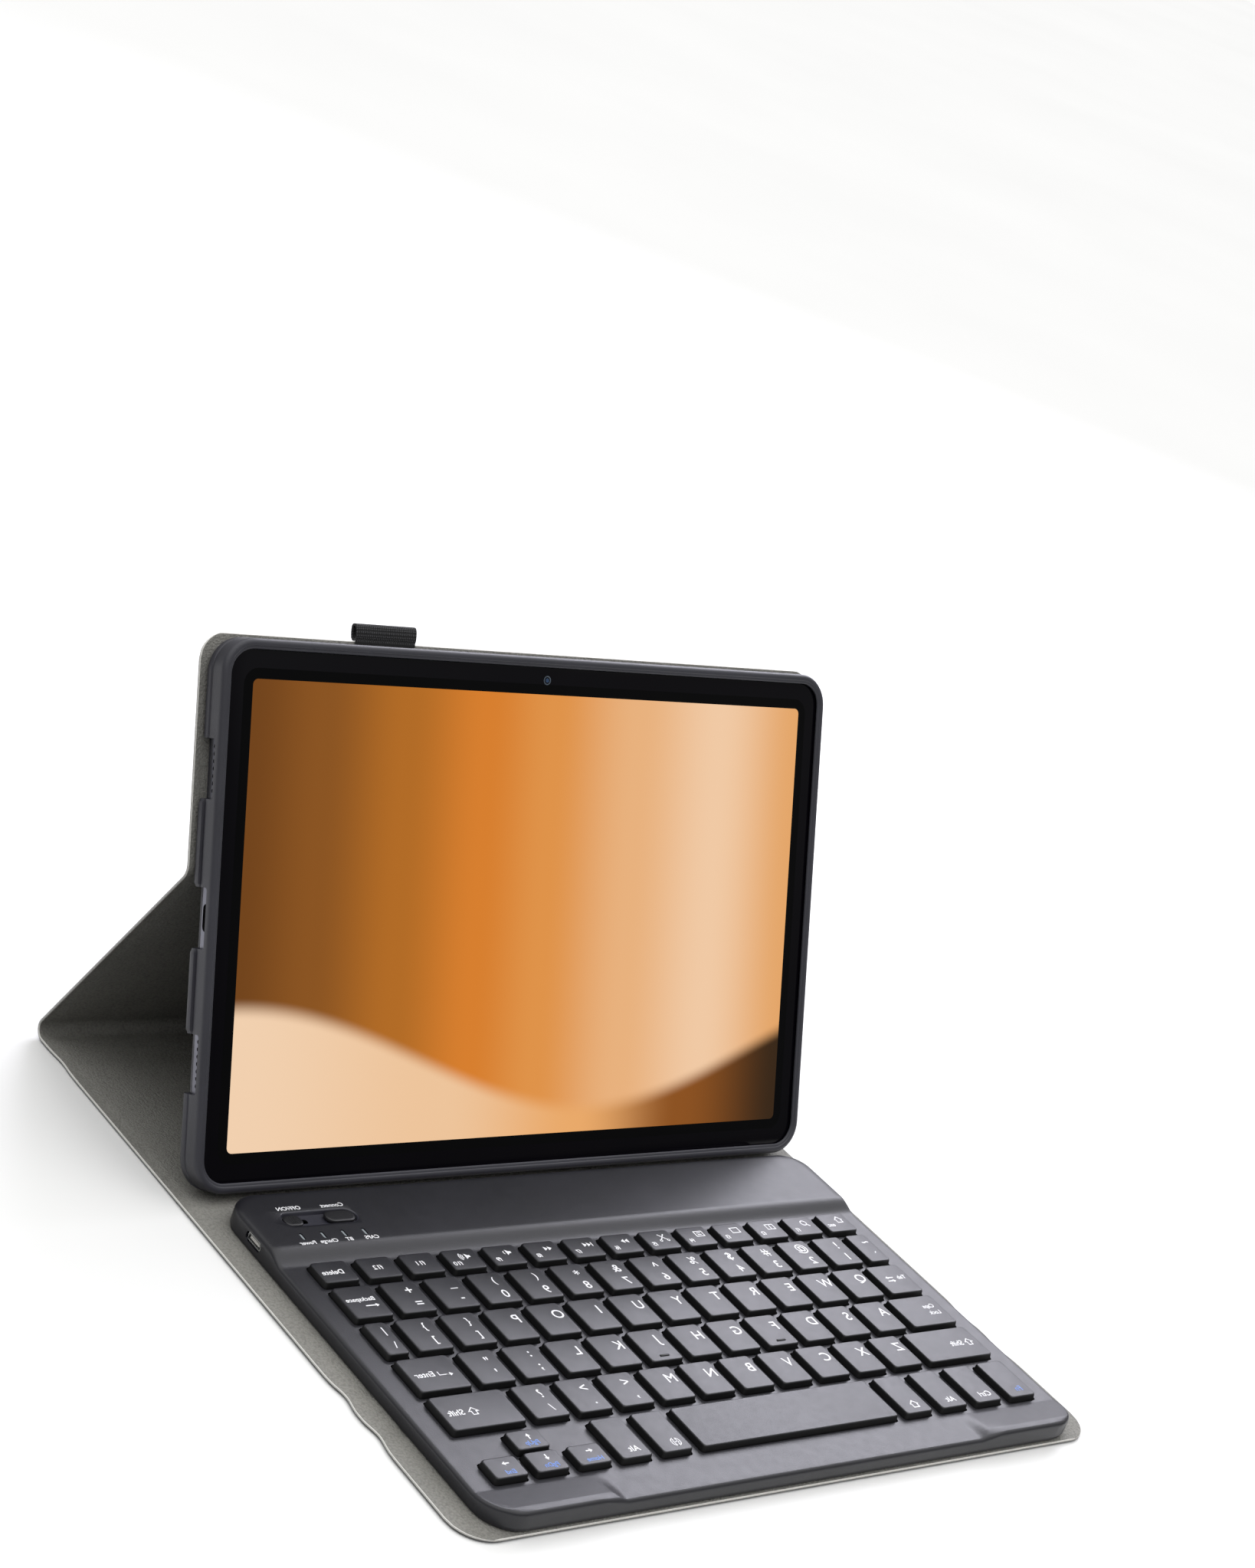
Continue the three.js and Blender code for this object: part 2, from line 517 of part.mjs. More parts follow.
function strap(first, second) {
  const [a, b] = first.x <= second.x ? [first, second] : [second, first]
  const shift = KEY_BLOCK_WIDTH / 2
  if (Math.abs(a.y - b.y) < 0.01) {
    const y = a.y + Math.min(a.depth, b.depth) / 2
    return block(a.x + a.width - 1 - shift, b.x + 1 - shift, y - WEB_WIDTH / 2, y + WEB_WIDTH / 2,
      WEB_BOTTOM, WEB_TOP)
  }
  const [low, high] = a.y < b.y ? [a, b] : [b, a]
  const x0 = Math.max(a.x, b.x)
  const x1 = Math.min(a.x + a.width, b.x + b.width)
  const x = (x0 + x1) / 2 - shift
  return block(x - WEB_WIDTH / 2, x + WEB_WIDTH / 2, low.y + low.depth - 1, high.y + 1, WEB_BOTTOM, WEB_TOP)
}

const EXTRA_STRAPS = {
  keys_symbols: [['bracket_left', 'quote'], ['quote', 'slash']],
  keys_arrows: [['arrow_down', 'arrow_up']],
}
for (const [bank, names] of Object.entries(KEY_BANKS)) {
  let body = null
  for (const name of names) {
    const cap = solid(keyCap(keyByName[name]))
    body = body ? body.add(cap) : cap
  }
  const pairs = []
  for (let i = 0; i < names.length - 1; i += 1) {
    const sameRow = Math.abs(keyByName[names[i]].y - keyByName[names[i + 1]].y) < 0.01
    if (sameRow) {
      pairs.push([names[i], names[i + 1]])
    }
  }
  for (const [first, second] of [...pairs, ...(EXTRA_STRAPS[bank] || [])]) {
    body = body.add(solid(strap(keyByName[first], keyByName[second])))
  }
  addMesh(bank, fromSolid(body), KEY_PLASTIC, boardFrame)
}

export default group
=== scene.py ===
"""Looks of the tablet keyboard case: leather cover, soft shell, tablet and keyboard.

Sizes are in millimetres in the frame of the CAD part, and become metres when a mesh is made.
"""
import json
from math import atan2, copysign, cos, exp, hypot, pi, radians, sin, sqrt, tan

import bpy
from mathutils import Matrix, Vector


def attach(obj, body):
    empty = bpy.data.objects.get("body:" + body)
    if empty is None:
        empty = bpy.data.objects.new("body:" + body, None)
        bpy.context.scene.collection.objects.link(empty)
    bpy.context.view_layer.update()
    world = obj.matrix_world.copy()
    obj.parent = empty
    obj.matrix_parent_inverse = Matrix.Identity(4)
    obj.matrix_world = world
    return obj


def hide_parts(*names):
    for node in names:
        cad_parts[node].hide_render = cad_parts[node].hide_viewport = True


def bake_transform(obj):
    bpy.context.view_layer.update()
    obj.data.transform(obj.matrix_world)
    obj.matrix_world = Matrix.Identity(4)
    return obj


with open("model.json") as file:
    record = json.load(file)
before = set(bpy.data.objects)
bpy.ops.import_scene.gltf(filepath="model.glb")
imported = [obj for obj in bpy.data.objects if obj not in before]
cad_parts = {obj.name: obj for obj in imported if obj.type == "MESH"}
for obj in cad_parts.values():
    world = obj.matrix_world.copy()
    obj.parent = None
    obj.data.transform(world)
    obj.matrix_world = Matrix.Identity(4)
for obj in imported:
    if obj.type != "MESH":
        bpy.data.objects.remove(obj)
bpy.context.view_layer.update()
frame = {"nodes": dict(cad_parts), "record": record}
MM = 0.001

# ---------------- sizes of the CAD part
COVER_HALF = 132.5
COVER_THICK = 1.5
FLAP_LENGTH = 48.6
STRIP_LENGTH = 18.2
BASE_LENGTH = 179
SPINE_LENGTH = 20.6
PROP_LENGTH = 104.5
BACK_LENGTH = 75.1
FLAP_CORNER = 12
BACK_CORNER = 9
FRONT_Y = -133.02
AXIS_Z = COVER_THICK / 2
TABLET_LEAN = radians(25)
BACK_FOLD = (80.2925, 90.7610)
REAR_FOLD = (FRONT_Y + FLAP_LENGTH + STRIP_LENGTH + BASE_LENGTH + SPINE_LENGTH, AXIS_Z)
PROP_ANGLE = atan2(BACK_FOLD[1] - REAR_FOLD[1], BACK_FOLD[0] - REAR_FOLD[0])
BACK_ANGLE = pi / 2 - TABLET_LEAN

SHELL_BOX = (-130.55, -99.3, 130.55, 74.0)
SHELL_CORNER = 11.4
TABLET_BOX = (-128.55, -97.0, 128.55, 71.7)
TABLET_CORNER = 9
TABLET_BACK_Z = 2.55
GLASS_Z = 9.45
DISPLAY_BOX = (-118.45, -86.7, 118.45, 61.4)

BOARD_Y = FRONT_Y + 0.6
BOARD_Z = 1.8
BOARD_HALF = 123.5
BOARD_LENGTH = 156
DECK_BASE = 1.2
DECK_TOP = 4.9
HUMP_TOP = 7.5
KEY_TOP = 7.0
KEY_CORNER = 1.0
INK_LIFT = 0.03
STRAP_LOW, STRAP_HIGH = 3.1, 3.7
BLOCK_HALF = 114
PITCH = 16.8
ROWS = {1: 109.0, 2: 90.9, 3: 72.95, 4: 55.0, 5: 37.05, 6: 15.1}


# ---------------- small helpers
def clamp(value):
    return max(0.0, min(1.0, value))


def smooth(value):
    t = clamp(value)
    return t * t * (3 - 2 * t)


def on_back(x, y, z):
    """A point of the standing tablet's frame: y runs up the back panel, z faces the viewer."""
    s, c = sin(TABLET_LEAN), cos(TABLET_LEAN)
    return (x, BACK_FOLD[0] + y * s - z * c, BACK_FOLD[1] + y * c + z * s)


def on_board(x, y, z):
    return (x, BOARD_Y + y, BOARD_Z + z)


def add_object(name, data):
    obj = bpy.data.objects.new(name, data)
    bpy.context.scene.collection.objects.link(obj)
    return obj


def mesh_object(name, shape, materials, sharp=32.0, uvs=None):
    """Object of a shape: its points in millimetres, its faces and, if wanted, their material slots."""
    verts, faces, *slots = shape
    mesh = bpy.data.meshes.new(name)
    mesh.from_pydata([Vector(v) * MM for v in verts], [], faces)
    for material in materials:
        mesh.materials.append(material)
    if slots:
        mesh.polygons.foreach_set("material_index", slots[0])
    if uvs:
        layer = mesh.uv_layers.new(name="UVMap")
        for loop in mesh.loops:
            layer.data[loop.index].uv = uvs[loop.vertex_index]
    finish_mesh(mesh, sharp)
    return add_object(name, mesh)


def finish_mesh(mesh, sharp):
    mesh.update()
    mesh.shade_smooth()
    mesh.set_sharp_from_angle(angle=radians(sharp))


def cut(obj, cutters, sharp=32.0):
    """Takes the cutter solids away from obj and removes them."""
    bpy.context.view_layer.update()
    for cutter in cutters:
        modifier = obj.modifiers.new("cut", "BOOLEAN")
        modifier.operation = "DIFFERENCE"
        modifier.solver = "MANIFOLD"
        modifier.material_mode = "TRANSFER"
        modifier.object = cutter
    bpy.context.view_layer.update()
    evaluated = obj.evaluated_get(bpy.context.evaluated_depsgraph_get())
    made = bpy.data.meshes.new_from_object(evaluated)
    obj.modifiers.clear()
    obj.data = made
    finish_mesh(made, sharp)
    for cutter in cutters:
        bpy.data.objects.remove(cutter)
    return obj


def rounded_rect(box, radius, steps, side_ys=(), side_xs=()):
    """Points round a rounded rectangle, anticlockwise from the middle of its lower right corner arc."""
    x0, y0, x1, y1 = box
    r = radius
    points = []
    arcs = [(x1 - r, y0 + r, -90), (x1 - r, y1 - r, 0), (x0 + r, y1 - r, 90), (x0 + r, y0 + r, 180)]
    straights = [
        [(x1, y) for y in side_ys],
        [(x, y1) for x in reversed(side_xs)],
        [(x0, y) for y in reversed(side_ys)],
        [(x, y0) for x in side_xs],
    ]
    for (cx, cy, start), straight in zip(arcs, straights):
        for i in range(steps + 1):
            a = radians(start + 90 * i / steps)
            points.append((cx + r * cos(a), cy + r * sin(a)))
        points += straight
    return points


def inset_rect(box, radius, inset, steps, side_ys=(), side_xs=()):
    x0, y0, x1, y1 = box
    shrunk = (x0 + inset, y0 + inset, x1 - inset, y1 - inset)
    return rounded_rect(shrunk, max(radius - inset, 0.4), steps, side_ys, side_xs)


def skin_rings(rings, caps=True):
    """Skin over rings of equal length, with every face in the first material slot."""
    count = len(rings[0])
    verts = [p for ring in rings for p in ring]
    faces = []
    for start in range(0, len(verts) - count, count):
        for i in range(count):
            j = (i + 1) % count
            faces.append((start + i, start + j, start + count + j, start + count + i))
    if caps:
        last = len(verts) - count
        faces += [tuple(reversed(range(count))), tuple(range(last, last + count))]
    return verts, faces, [0] * len(faces)


def ring_stack(box, radius, profile, steps, place):
    """Rings of a rounded box; the profile gives the inset and the height of each."""
    return [[place(x, y, z) for x, y in inset_rect(box, radius, inset, steps)] for inset, z in profile]


def merge(*parts):
    """Points, faces and material slots of several shapes as one."""
    verts, faces, slots = [], [], []
    for more_verts, more_faces, more_slots in parts:
        base = len(verts)
        verts += more_verts
        faces += [tuple(base + i for i in face) for face in more_faces]
        slots += more_slots
    return verts, faces, slots


def box_skin(x0, x1, y0, y1, levels):
    """Box on the keyboard, or a frustum; each level is a height and an inset."""
    return skin_rings([[on_board(x, y, z) for x, y in ((x0 + d, y0 + d), (x1 - d, y0 + d), (x1 - d, y1 - d),
                                                       (x0 + d, y1 - d))] for z, d in levels])


def slab_faces(down, across, top_slot=lambda i, j: 0, side_slot=0):
    """Faces of a closed slab whose points come row by row, each as a top and a bottom point."""
    faces, slots = [], []

    def add(face, slot, flip=False):
        faces.append(tuple(reversed(face)) if flip else face)
        slots.append(slot)

    for i in range(down - 1):
        for j in range(across - 1):
            a, b = 2 * (i * across + j), 2 * ((i + 1) * across + j)
            add((a, a + 2, b + 2, b), top_slot(i, j))
            add((a + 1, b + 1, b + 3, a + 3), 0)
        for j, flip in ((0, False), (across - 1, True)):
            a, b = 2 * (i * across + j), 2 * ((i + 1) * across + j)
            add((a, b, b + 1, a + 1), side_slot, flip)
    for i, flip in ((0, True), (down - 1, False)):
        for j in range(across - 1):
            a = 2 * (i * across + j)
            add((a, a + 2, a + 3, a + 1), side_slot, flip)
    return faces, slots


def bar(name, outline, axis, reach, place, material=None):
    """Closed solid of a flat outline that runs along one axis between two places."""
    turn = {"x": lambda u, v, t: (t, u, v), "y": lambda u, v, t: (u, t, v), "z": lambda u, v, t: (u, v, t)}[axis]
    rings = [[place(*turn(u, v, t)) for u, v in outline] for t in reach]
    return mesh_object(name, skin_rings(rings), [material] if material else [])


def prism(name, outline, z0, z1, place, material=None):
    return bar(name, outline, "z", (z0, z1), place, material)


def panel_width(half, ends):
    """Half width of a panel near its rounded ends; ends are pairs of corner radius and distance."""
    width = half
    for radius, distance in ends:
        if distance < radius:
            width = min(width, half - radius + sqrt(max(radius ** 2 - (radius - distance) ** 2, 0)))
    return width


def edge_distance(x, half, ends):
    """Distance from a point of a panel to its nearest free edge."""
    edge = panel_width(half, ends) - abs(x)
    for radius, distance in ends:
        if radius:
            edge = min(edge, distance)
            if distance < radius and half - abs(x) < radius:
                edge = min(edge, max(radius - hypot(radius - distance, radius - half + abs(x)), 0.0))
    return edge


def mount(piece, body, slot, *nodes):
    """Lets a piece ride on a body and stand for CAD nodes, whose meshes it hides; its slot argument is not used."""
    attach(piece, body)
    if nodes:
        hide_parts(*nodes)
    return piece


def join(name, objects):
    """One object of all the given ones, keeping their materials."""
    bpy.context.view_layer.update()
    with bpy.context.temp_override(
        active_object=objects[0], object=objects[0], selected_objects=objects,
        selected_editable_objects=objects,
    ):
        bpy.ops.object.join()
    objects[0].name = name
    return objects[0]


# ---------------- materials
def feed(socket, value):
    """Links a socket to another one, or sets it to a constant."""
    if isinstance(value, bpy.types.NodeSocket):
        socket.id_data.links.new(value, socket)
    else:
        socket.default_value = value


def add_node(tree, kind, inputs=None, **settings):
    node = tree.nodes.new("ShaderNode" + kind)
    for key, value in settings.items():
        setattr(node, key, value)
    for key, value in (inputs or {}).items():
        feed(node.inputs[key], value)
    return node


def math_node(operation, first, second=None):
    inputs = {0: first} if second is None else {0: first, 1: second}
    return add_node(first.id_data, "Math", inputs, operation=operation).outputs[0]


def vector_node(operation, first, second):
    return add_node(first.id_data, "VectorMath", {0: first, 1: second}, operation=operation).outputs[0]


def mix_colour(factor, first, second, blend="MIX"):
    node = add_node(first.id_data, "Mix", data_type="RGBA", blend_type=blend)
    colours = [socket for socket in node.inputs if socket.type == "RGBA"]
    for socket, value in zip([node.inputs[0]] + colours, (factor, first, second)):
        feed(socket, value)
    return next(socket for socket in node.outputs if socket.type == "RGBA")


def new_material(name, **sockets):
    material = bpy.data.materials.new(name)
    material.use_nodes = True
    tree = material.node_tree
    shader = tree.nodes["Principled BSDF"]

    def wire(**values):
        for key, value in values.items():
            feed(shader.inputs[key.replace("_", " ")], value)

    wire(**sockets)
    return material, tree, wire


def rgb(hex_colour):
    """Linear colour of an sRGB hex string."""
    values = [int(hex_colour[i:i + 2], 16) / 255 for i in (1, 3, 5)]
    return tuple(v / 12.92 if v <= 0.04045 else ((v + 0.055) / 1.055) ** 2.4 for v in values) + (1.0,)


def coordinates(tree, source="Object"):
    return add_node(tree, "TexCoord").outputs[source]


def noise(vector, scale, detail=3.0, roughness=0.5, output="Fac"):
    node = add_node(vector.id_data, "TexNoise",
                    {"Vector": vector, "Scale": scale, "Detail": detail, "Roughness": roughness})
    return node.outputs[output]


def ramp(factor, stops, interpolation="LINEAR"):
    node = add_node(factor.id_data, "ValToRGB", {"Fac": factor})
    node.color_ramp.interpolation = interpolation
    elements = node.color_ramp.elements
    while len(elements) < len(stops):
        elements.new(0.5)
    for element, (position, colour) in zip(elements, stops):
        element.position = position
        element.color = rgb(colour) if isinstance(colour, str) else (colour,) * 3 + (1.0,)
    return node.outputs["Color"]


def span(factor, low, high, from_low=0.0, from_high=1.0):
    node = add_node(factor.id_data, "MapRange", {
        "Value": factor, "From Min": from_low, "From Max": from_high, "To Min": low, "To Max": high})
    return node.outputs["Result"]


def bump(height, distance):
    inputs = {"Height": height, "Distance": distance, "Strength": 1.0}
    return add_node(height.id_data, "Bump", inputs).outputs["Normal"]


def plastic(name, dark, light, rough, grain, grain_depth, mottle=45.0, **sockets):
    """Moulded plastic: faint cloudy tone, fine spark-eroded grain and uneven gloss."""
    material, tree, wire = new_material(name, **sockets)
    place = coordinates(tree)
    tone = ramp(noise(place, mottle), [(0.3, dark), (0.7, light)])
    gloss = span(noise(place, mottle * 6), rough - 0.05, rough + 0.05)
    wire(Base_Color=tone, Roughness=gloss, Normal=bump(noise(place, grain, 2.0), grain_depth))
    return material


def leather(name, dark, light, rough, pebble, depth, crease=0.35):
    """Grained leather: rounded pebbles with creases between them, the creases darkened as painted shade, worn smoother
    in patches.
    """
    material, tree, wire = new_material(name)
    place = coordinates(tree, "UV")
    wander = noise(place, pebble * 0.5, 2.0, output="Color")
    moved = vector_node("MULTIPLY", wander, (0.6 / pebble,) * 3)
    spread = vector_node("ADD", place, moved)
    cells = add_node(tree, "TexVoronoi", {"Vector": spread, "Scale": pebble},
                     feature="SMOOTH_F1").outputs["Distance"]
    fine = noise(place, pebble * 2.4, 2.0)
    tone = ramp(noise(place, 22.0, 3.0), [(0.25, dark), (0.75, light)])
    # Painted shade: the creases between the pebbles are darker.
    shade = span(cells, 1.0, 1.0 - crease, 0.25, 0.75)
    worn = span(noise(place, 60.0, 2.0), rough - 0.07, rough + 0.07)
    height = math_node("SUBTRACT", cells, fine)
    wire(Base_Color=mix_colour(1.0, tone, shade, "MULTIPLY"), Roughness=worn,
         Normal=bump(height, -depth))
    return material


OUTER_LEATHER = leather("outer_leather", "#17171a", "#222226", 0.48, 1150.0, 0.00026)
LINING = leather("lining_leather", "#8e8d87", "#9e9c96", 0.66, 1450.0, 0.0003, 0.3)
# The cut edge is pale leather brightened to near-white as a painted highlight; it also covers the lining's rounded rim
# along each edge.
CUT_EDGE_PAINTED_HIGHLIGHT = leather("cut_edge", "#eceae4", "#f8f6f1", 0.7, 1500.0, 0.00008, 0.1)
SHELL_PLASTIC = plastic("soft_shell", "#33333a", "#3b3b43", 0.44, 1800.0, 0.00003, 30.0)
DECK_PLASTIC = plastic("deck_satin", "#1c1c21", "#222228", 0.35, 3200.0, 0.000035)
# Lighter plastic of the switch tray: painted light in the recess.
TRAY_PAINTED_LIGHT = plastic("tray_satin", "#303038", "#393942", 0.3, 3200.0, 0.00003)
KEY_FACE = plastic("key_face", "#1d1d22", "#232329", 0.35, 4200.0, 0.000035, 60.0)
# Near-black key sides: the key plastic darkened as painted shade.
KEY_DARK_PAINTED_SHADE = plastic("key_side", "#050506", "#09090a", 0.5, 3000.0, 0.00002)
BOTTOM_PLASTIC = plastic("bottom_plastic", "#1e1e22", "#27272b", 0.5, 1500.0, 0.00006)
SWITCH_PLASTIC = plastic("switch_plastic", "#1b1b1e", "#232326", 0.34, 2600.0, 0.00003)
PRINT_WHITE = plastic("print_white", "#eeeef2", "#fafafc", 0.55, 2000.0, 0.00001)
PRINT_BLUE = plastic("print_blue", "#5f83cf", "#7597dd", 0.55, 2000.0, 0.00001)
ALUMINIUM = plastic("tablet_aluminium", "#6a6a72", "#777780", 0.34, 5200.0, 0.00002, 80.0, Metallic=1.0)
BRIGHT_METAL = plastic("port_steel", "#b5b7ba", "#cfd1d3", 0.22, 1800.0, 0.00001, 200.0, Metallic=1.0)
PLATE_STEEL = plastic("plate_steel", "#7e8084", "#96989b", 0.38, 900.0, 0.00002, 60.0, Metallic=1.0)
DISPLAY_BORDER = plastic("display_border", "#010102", "#030304", 0.12, 900.0, 0.000001, Specular_IOR_Level=0.1)
# Near-black for the walls of key holes, slots, ports and speaker holes: painted shade.
RECESS_PAINTED_SHADE = plastic("dark_recess", "#020203", "#050506", 0.6, 2000.0, 0.00001)
LIGHT_CLEAR = plastic("light_clear", "#8f979b", "#a4acb0", 0.25, 1500.0, 0.00001)
CONTACT_PALE = plastic("contact_pale", "#e6e4de", "#f2f0ea", 0.3, 1500.0, 0.00001)


def glass_material():
    material, tree, wire = new_material("tablet_glass_black", Specular_IOR_Level=0.1)
    place = coordinates(tree)
    wire(Base_Color=ramp(noise(place, 30.0), [(0.3, "#050409"), (0.7, "#08060b")]),
         Roughness=span(noise(place, 55.0, 4.0), 0.03, 0.09))
    return material


def screen_material():
    """Lit display with a plain warm gradient and a soft wave."""
    material, tree, wire = new_material("display_lit", Roughness=0.08, Specular_IOR_Level=0.1,
                                        Base_Color=(0.01, 0.008, 0.006, 1.0), Emission_Strength=1.0)
    parts = add_node(tree, "SeparateXYZ", {"Vector": coordinates(tree, "UV")}).outputs
    sky = ramp(parts["X"], [
        (0.0, "#6f4012"), (0.12, "#88511a"), (0.26, "#b0691f"), (0.4, "#d67d29"), (0.52, "#de9146"),
        (0.68, "#e7b07c"), (0.84, "#efc8a3"), (1.0, "#e3a568")], "EASE")
    low = ramp(parts["X"], [
        (0.0, "#f0cfae"), (0.35, "#ecc39a"), (0.6, "#e8a868"), (0.8, "#8a4f1a"), (1.0, "#33200d")], "EASE")
    wave = math_node("COSINE", math_node("MULTIPLY", parts["X"], 5.0))
    depth = math_node("SUBTRACT", parts["Y"], span(wave, 0.05, 0.3, -1.0, 1.0))
    hill = ramp(span(depth, 0.0, 1.0, -0.02, 0.03), [(0.0, 1.0), (1.0, 0.0)], "EASE")
    wire(Emission_Color=mix_colour(hill, sky, low))
    return material


def elastic_material():
    """Woven elastic: fine ribs across the band and threads along it."""
    material, tree, wire = new_material("elastic_weave", Sheen_Weight=0.25)
    place = coordinates(tree, "UV")
    ribs, threads = (
        add_node(tree, "TexWave", {"Vector": place, "Scale": scale, "Distortion": distortion},
                 wave_type="BANDS", bands_direction=axis).outputs["Fac"]
        for scale, distortion, axis in ((420.0, 0.4, "X"), (560.0, 0.5, "Y")))
    weave = math_node("MULTIPLY", ribs, threads)
    wire(Base_Color=ramp(weave, [(0.0, "#0b0b0d"), (1.0, "#2b2b30")]),
         Roughness=span(weave, 0.95, 0.75), Normal=bump(weave, 0.00025))
    return material


def board_material():
    """Green solder mask with paler traces."""
    material, tree, wire = new_material("circuit_green")
    place = coordinates(tree)
    bricks = add_node(tree, "TexBrick", {
        "Vector": place, "Scale": 260.0, "Color1": rgb("#1c5a38"), "Color2": rgb("#184f32"),
        "Mortar": rgb("#3c8a58"), "Mortar Size": 0.03}).outputs["Color"]
    wire(Base_Color=bricks, Roughness=span(noise(place, 300.0), 0.28, 0.45))
    return material


def foil_material():
    """Wrinkled silver pouch foil."""
    material, tree, wire = new_material("battery_foil", Metallic=0.9)
    wrinkles = noise(coordinates(tree), 160.0, 5.0, 0.65)
    wire(Base_Color=ramp(wrinkles, [(0.3, "#9b9da0"), (0.7, "#c3c5c7")]),
         Roughness=span(wrinkles, 0.3, 0.5), Normal=bump(wrinkles, 0.0003))
    return material


GLASS = glass_material()
SCREEN = screen_material()
ELASTIC = elastic_material()

# ---------------- leather cover
NECKS = ((FLAP_LENGTH, 1.3), (FLAP_LENGTH + STRIP_LENGTH, 1.3), (FLAP_LENGTH + STRIP_LENGTH + BASE_LENGTH, 0.6))
EDGE_ROUND = 0.45
BOARD_INSET = 3.0
BOARD_STEP = 1.5
BOARD_END_GAP = 0.4
FOLD_SKIN = 0.5
PANEL_SKIN = 0.75
RIM = 0.4
NECK_SPREAD = 5.5
SHARP_EDGE_SHARE = 0.35


def stretch(length, fine_start, fine_end, step):
    """Stations along a panel, closer together near the ends and closest at a free one."""
    coarse = [0, 0.8, 1.6, 2.3, 3.0, 3.8, 4.6, 6.0, 8.5, 12.0]
    near = coarse[:1] + [0.15, 0.3, 0.6, 1.0, 1.6, 2.3] + coarse[4:]
    start = [t for t in (near if fine_start else coarse) if t < length / 2]
    end = [length - t for t in (near if fine_end else coarse) if t < length / 2]
    gap = end[-1] - start[-1]
    count = max(int(gap / step), 1)
    middle = [start[-1] + gap * i / count for i in range(1, count)]
    return sorted(set(start + middle + end))


class Leg:
    """One length of the cover's section: a straight panel or the arc of a fold."""

    def __init__(self, start, heading, length, turn=0.0, along=0.0):
        self.start, self.heading, self.length, self.turn = start, heading, length, turn
        self.along, self.end = along, along + length

    def at(self, t):
        """Place and heading after t millimetres."""
        y, z = self.start
        if abs(self.turn) < 1e-9:
            return y + t * cos(self.heading), z + t * sin(self.heading), self.heading
        radius = self.length / self.turn
        a = self.heading + t / radius
        return (y + radius * (sin(a) - sin(self.heading)),
                z - radius * (cos(a) - cos(self.heading)), a)


def half_width(along):
    """The cover draws in a little at each fold."""
    narrowing = sum(amount * exp(-((along - place) / NECK_SPREAD) ** 2) for place, amount in NECKS)
    return COVER_HALF - narrowing


def cover_mesh(name, leg, stations, free_start=0.0, free_end=0.0, folded=False):
    """A length of cover with outer leather, lining and a near-white cut edge, partly the edge's own pale colour and
    partly a painted highlight. free_* are corner radii of free ends.
    """
    across = [0, 0.12, 0.28, 0.5, 0.9, 1.6, 2.4, 3.0, 3.6, 4.4, 6.0, 9.0]
    half_columns = across + [9 + (COVER_HALF - 9) * i / 12 for i in range(1, 13)]
    columns = half_columns + [2 * COVER_HALF - d for d in reversed(half_columns[:-1])]
    verts, uvs = [], []
    for t in stations:
        y, z, heading = leg.at(t)
        ny, nz = -sin(heading), cos(heading)
        half = half_width(leg.along + t)
        ends = ((free_start, t), (free_end, leg.length - t))
        for d in columns:
            x = (d / COVER_HALF - 1) * panel_width(half, ends)
            edge = edge_distance(x, half, ends)
            # The stiff board inside the panel ends short of every edge and fold.
            board = edge - BOARD_INSET
            for radius, distance in ends:
                if not radius:
                    board = min(board, distance - BOARD_END_GAP)
            rise = 0.0 if folded else smooth(board / BOARD_STEP)
            shoulder = sqrt(max(1 - (1 - clamp(edge / EDGE_ROUND)) ** 2, 0))
            thick = FOLD_SKIN + (PANEL_SKIN - FOLD_SKIN) * rise
            thick *= SHARP_EDGE_SHARE + (1 - SHARP_EDGE_SHARE) * shoulder
            verts += [(x, y + ny * thick, z + nz * thick), (x, y - ny * thick, z - nz * thick)]
            uvs += [(x * MM, (leg.along + t) * MM)] * 2

    # The lining's rounded rim along the sides and free ends takes the near-white cut edge: a painted highlight.
    def top_slot(i, j):
        at_side = j < 2 or j > len(columns) - 4
        at_start = free_start and stations[i + 1] < RIM
        at_end = free_end and leg.length - stations[i] < RIM
        return 2 if at_side or at_start or at_end else 1

    shape = (verts, *slab_faces(len(stations), len(columns), top_slot, side_slot=2))
    return mesh_object(name, shape, [OUTER_LEATHER, LINING, CUT_EDGE_PAINTED_HIGHLIGHT], 50.0, uvs)


def fold_leg(vertex, before, after, reach, along):
    """Arc of a fold that begins and ends reach from its vertex."""
    turn = after - before
    start = (vertex[0] - reach * cos(before), vertex[1] - reach * sin(before))
    return Leg(start, before, reach / tan(abs(turn) / 2) * abs(turn), turn, along)


FOLD = 1.2
REAR_REACH = 6.5
BACK_REACH = 3.0


def cover_piece(name, body, node, leg, step=9.0, free_start=0.0, free_end=0.0):
    """A boarded panel of the cover."""
    piece = cover_mesh(name, leg, stretch(leg.length, free_start, free_end, step), free_start, free_end)
    return mount(piece, body, "leather_outer", node)


def fold_piece(name, leg, count):
    """The thinner leather of a fold, cut in count equal steps."""
    return cover_mesh(name, leg, [leg.length * i / count for i in range(count + 1)], folded=True)


def flat_leg(start, length):
    """A straight stretch of the cover lying on the floor, measured from its front edge."""
    return Leg((FRONT_Y + start, AXIS_Z), 0.0, length, along=start)


strip_start = FLAP_LENGTH
base_start = strip_start + STRIP_LENGTH
spine_start = base_start + BASE_LENGTH

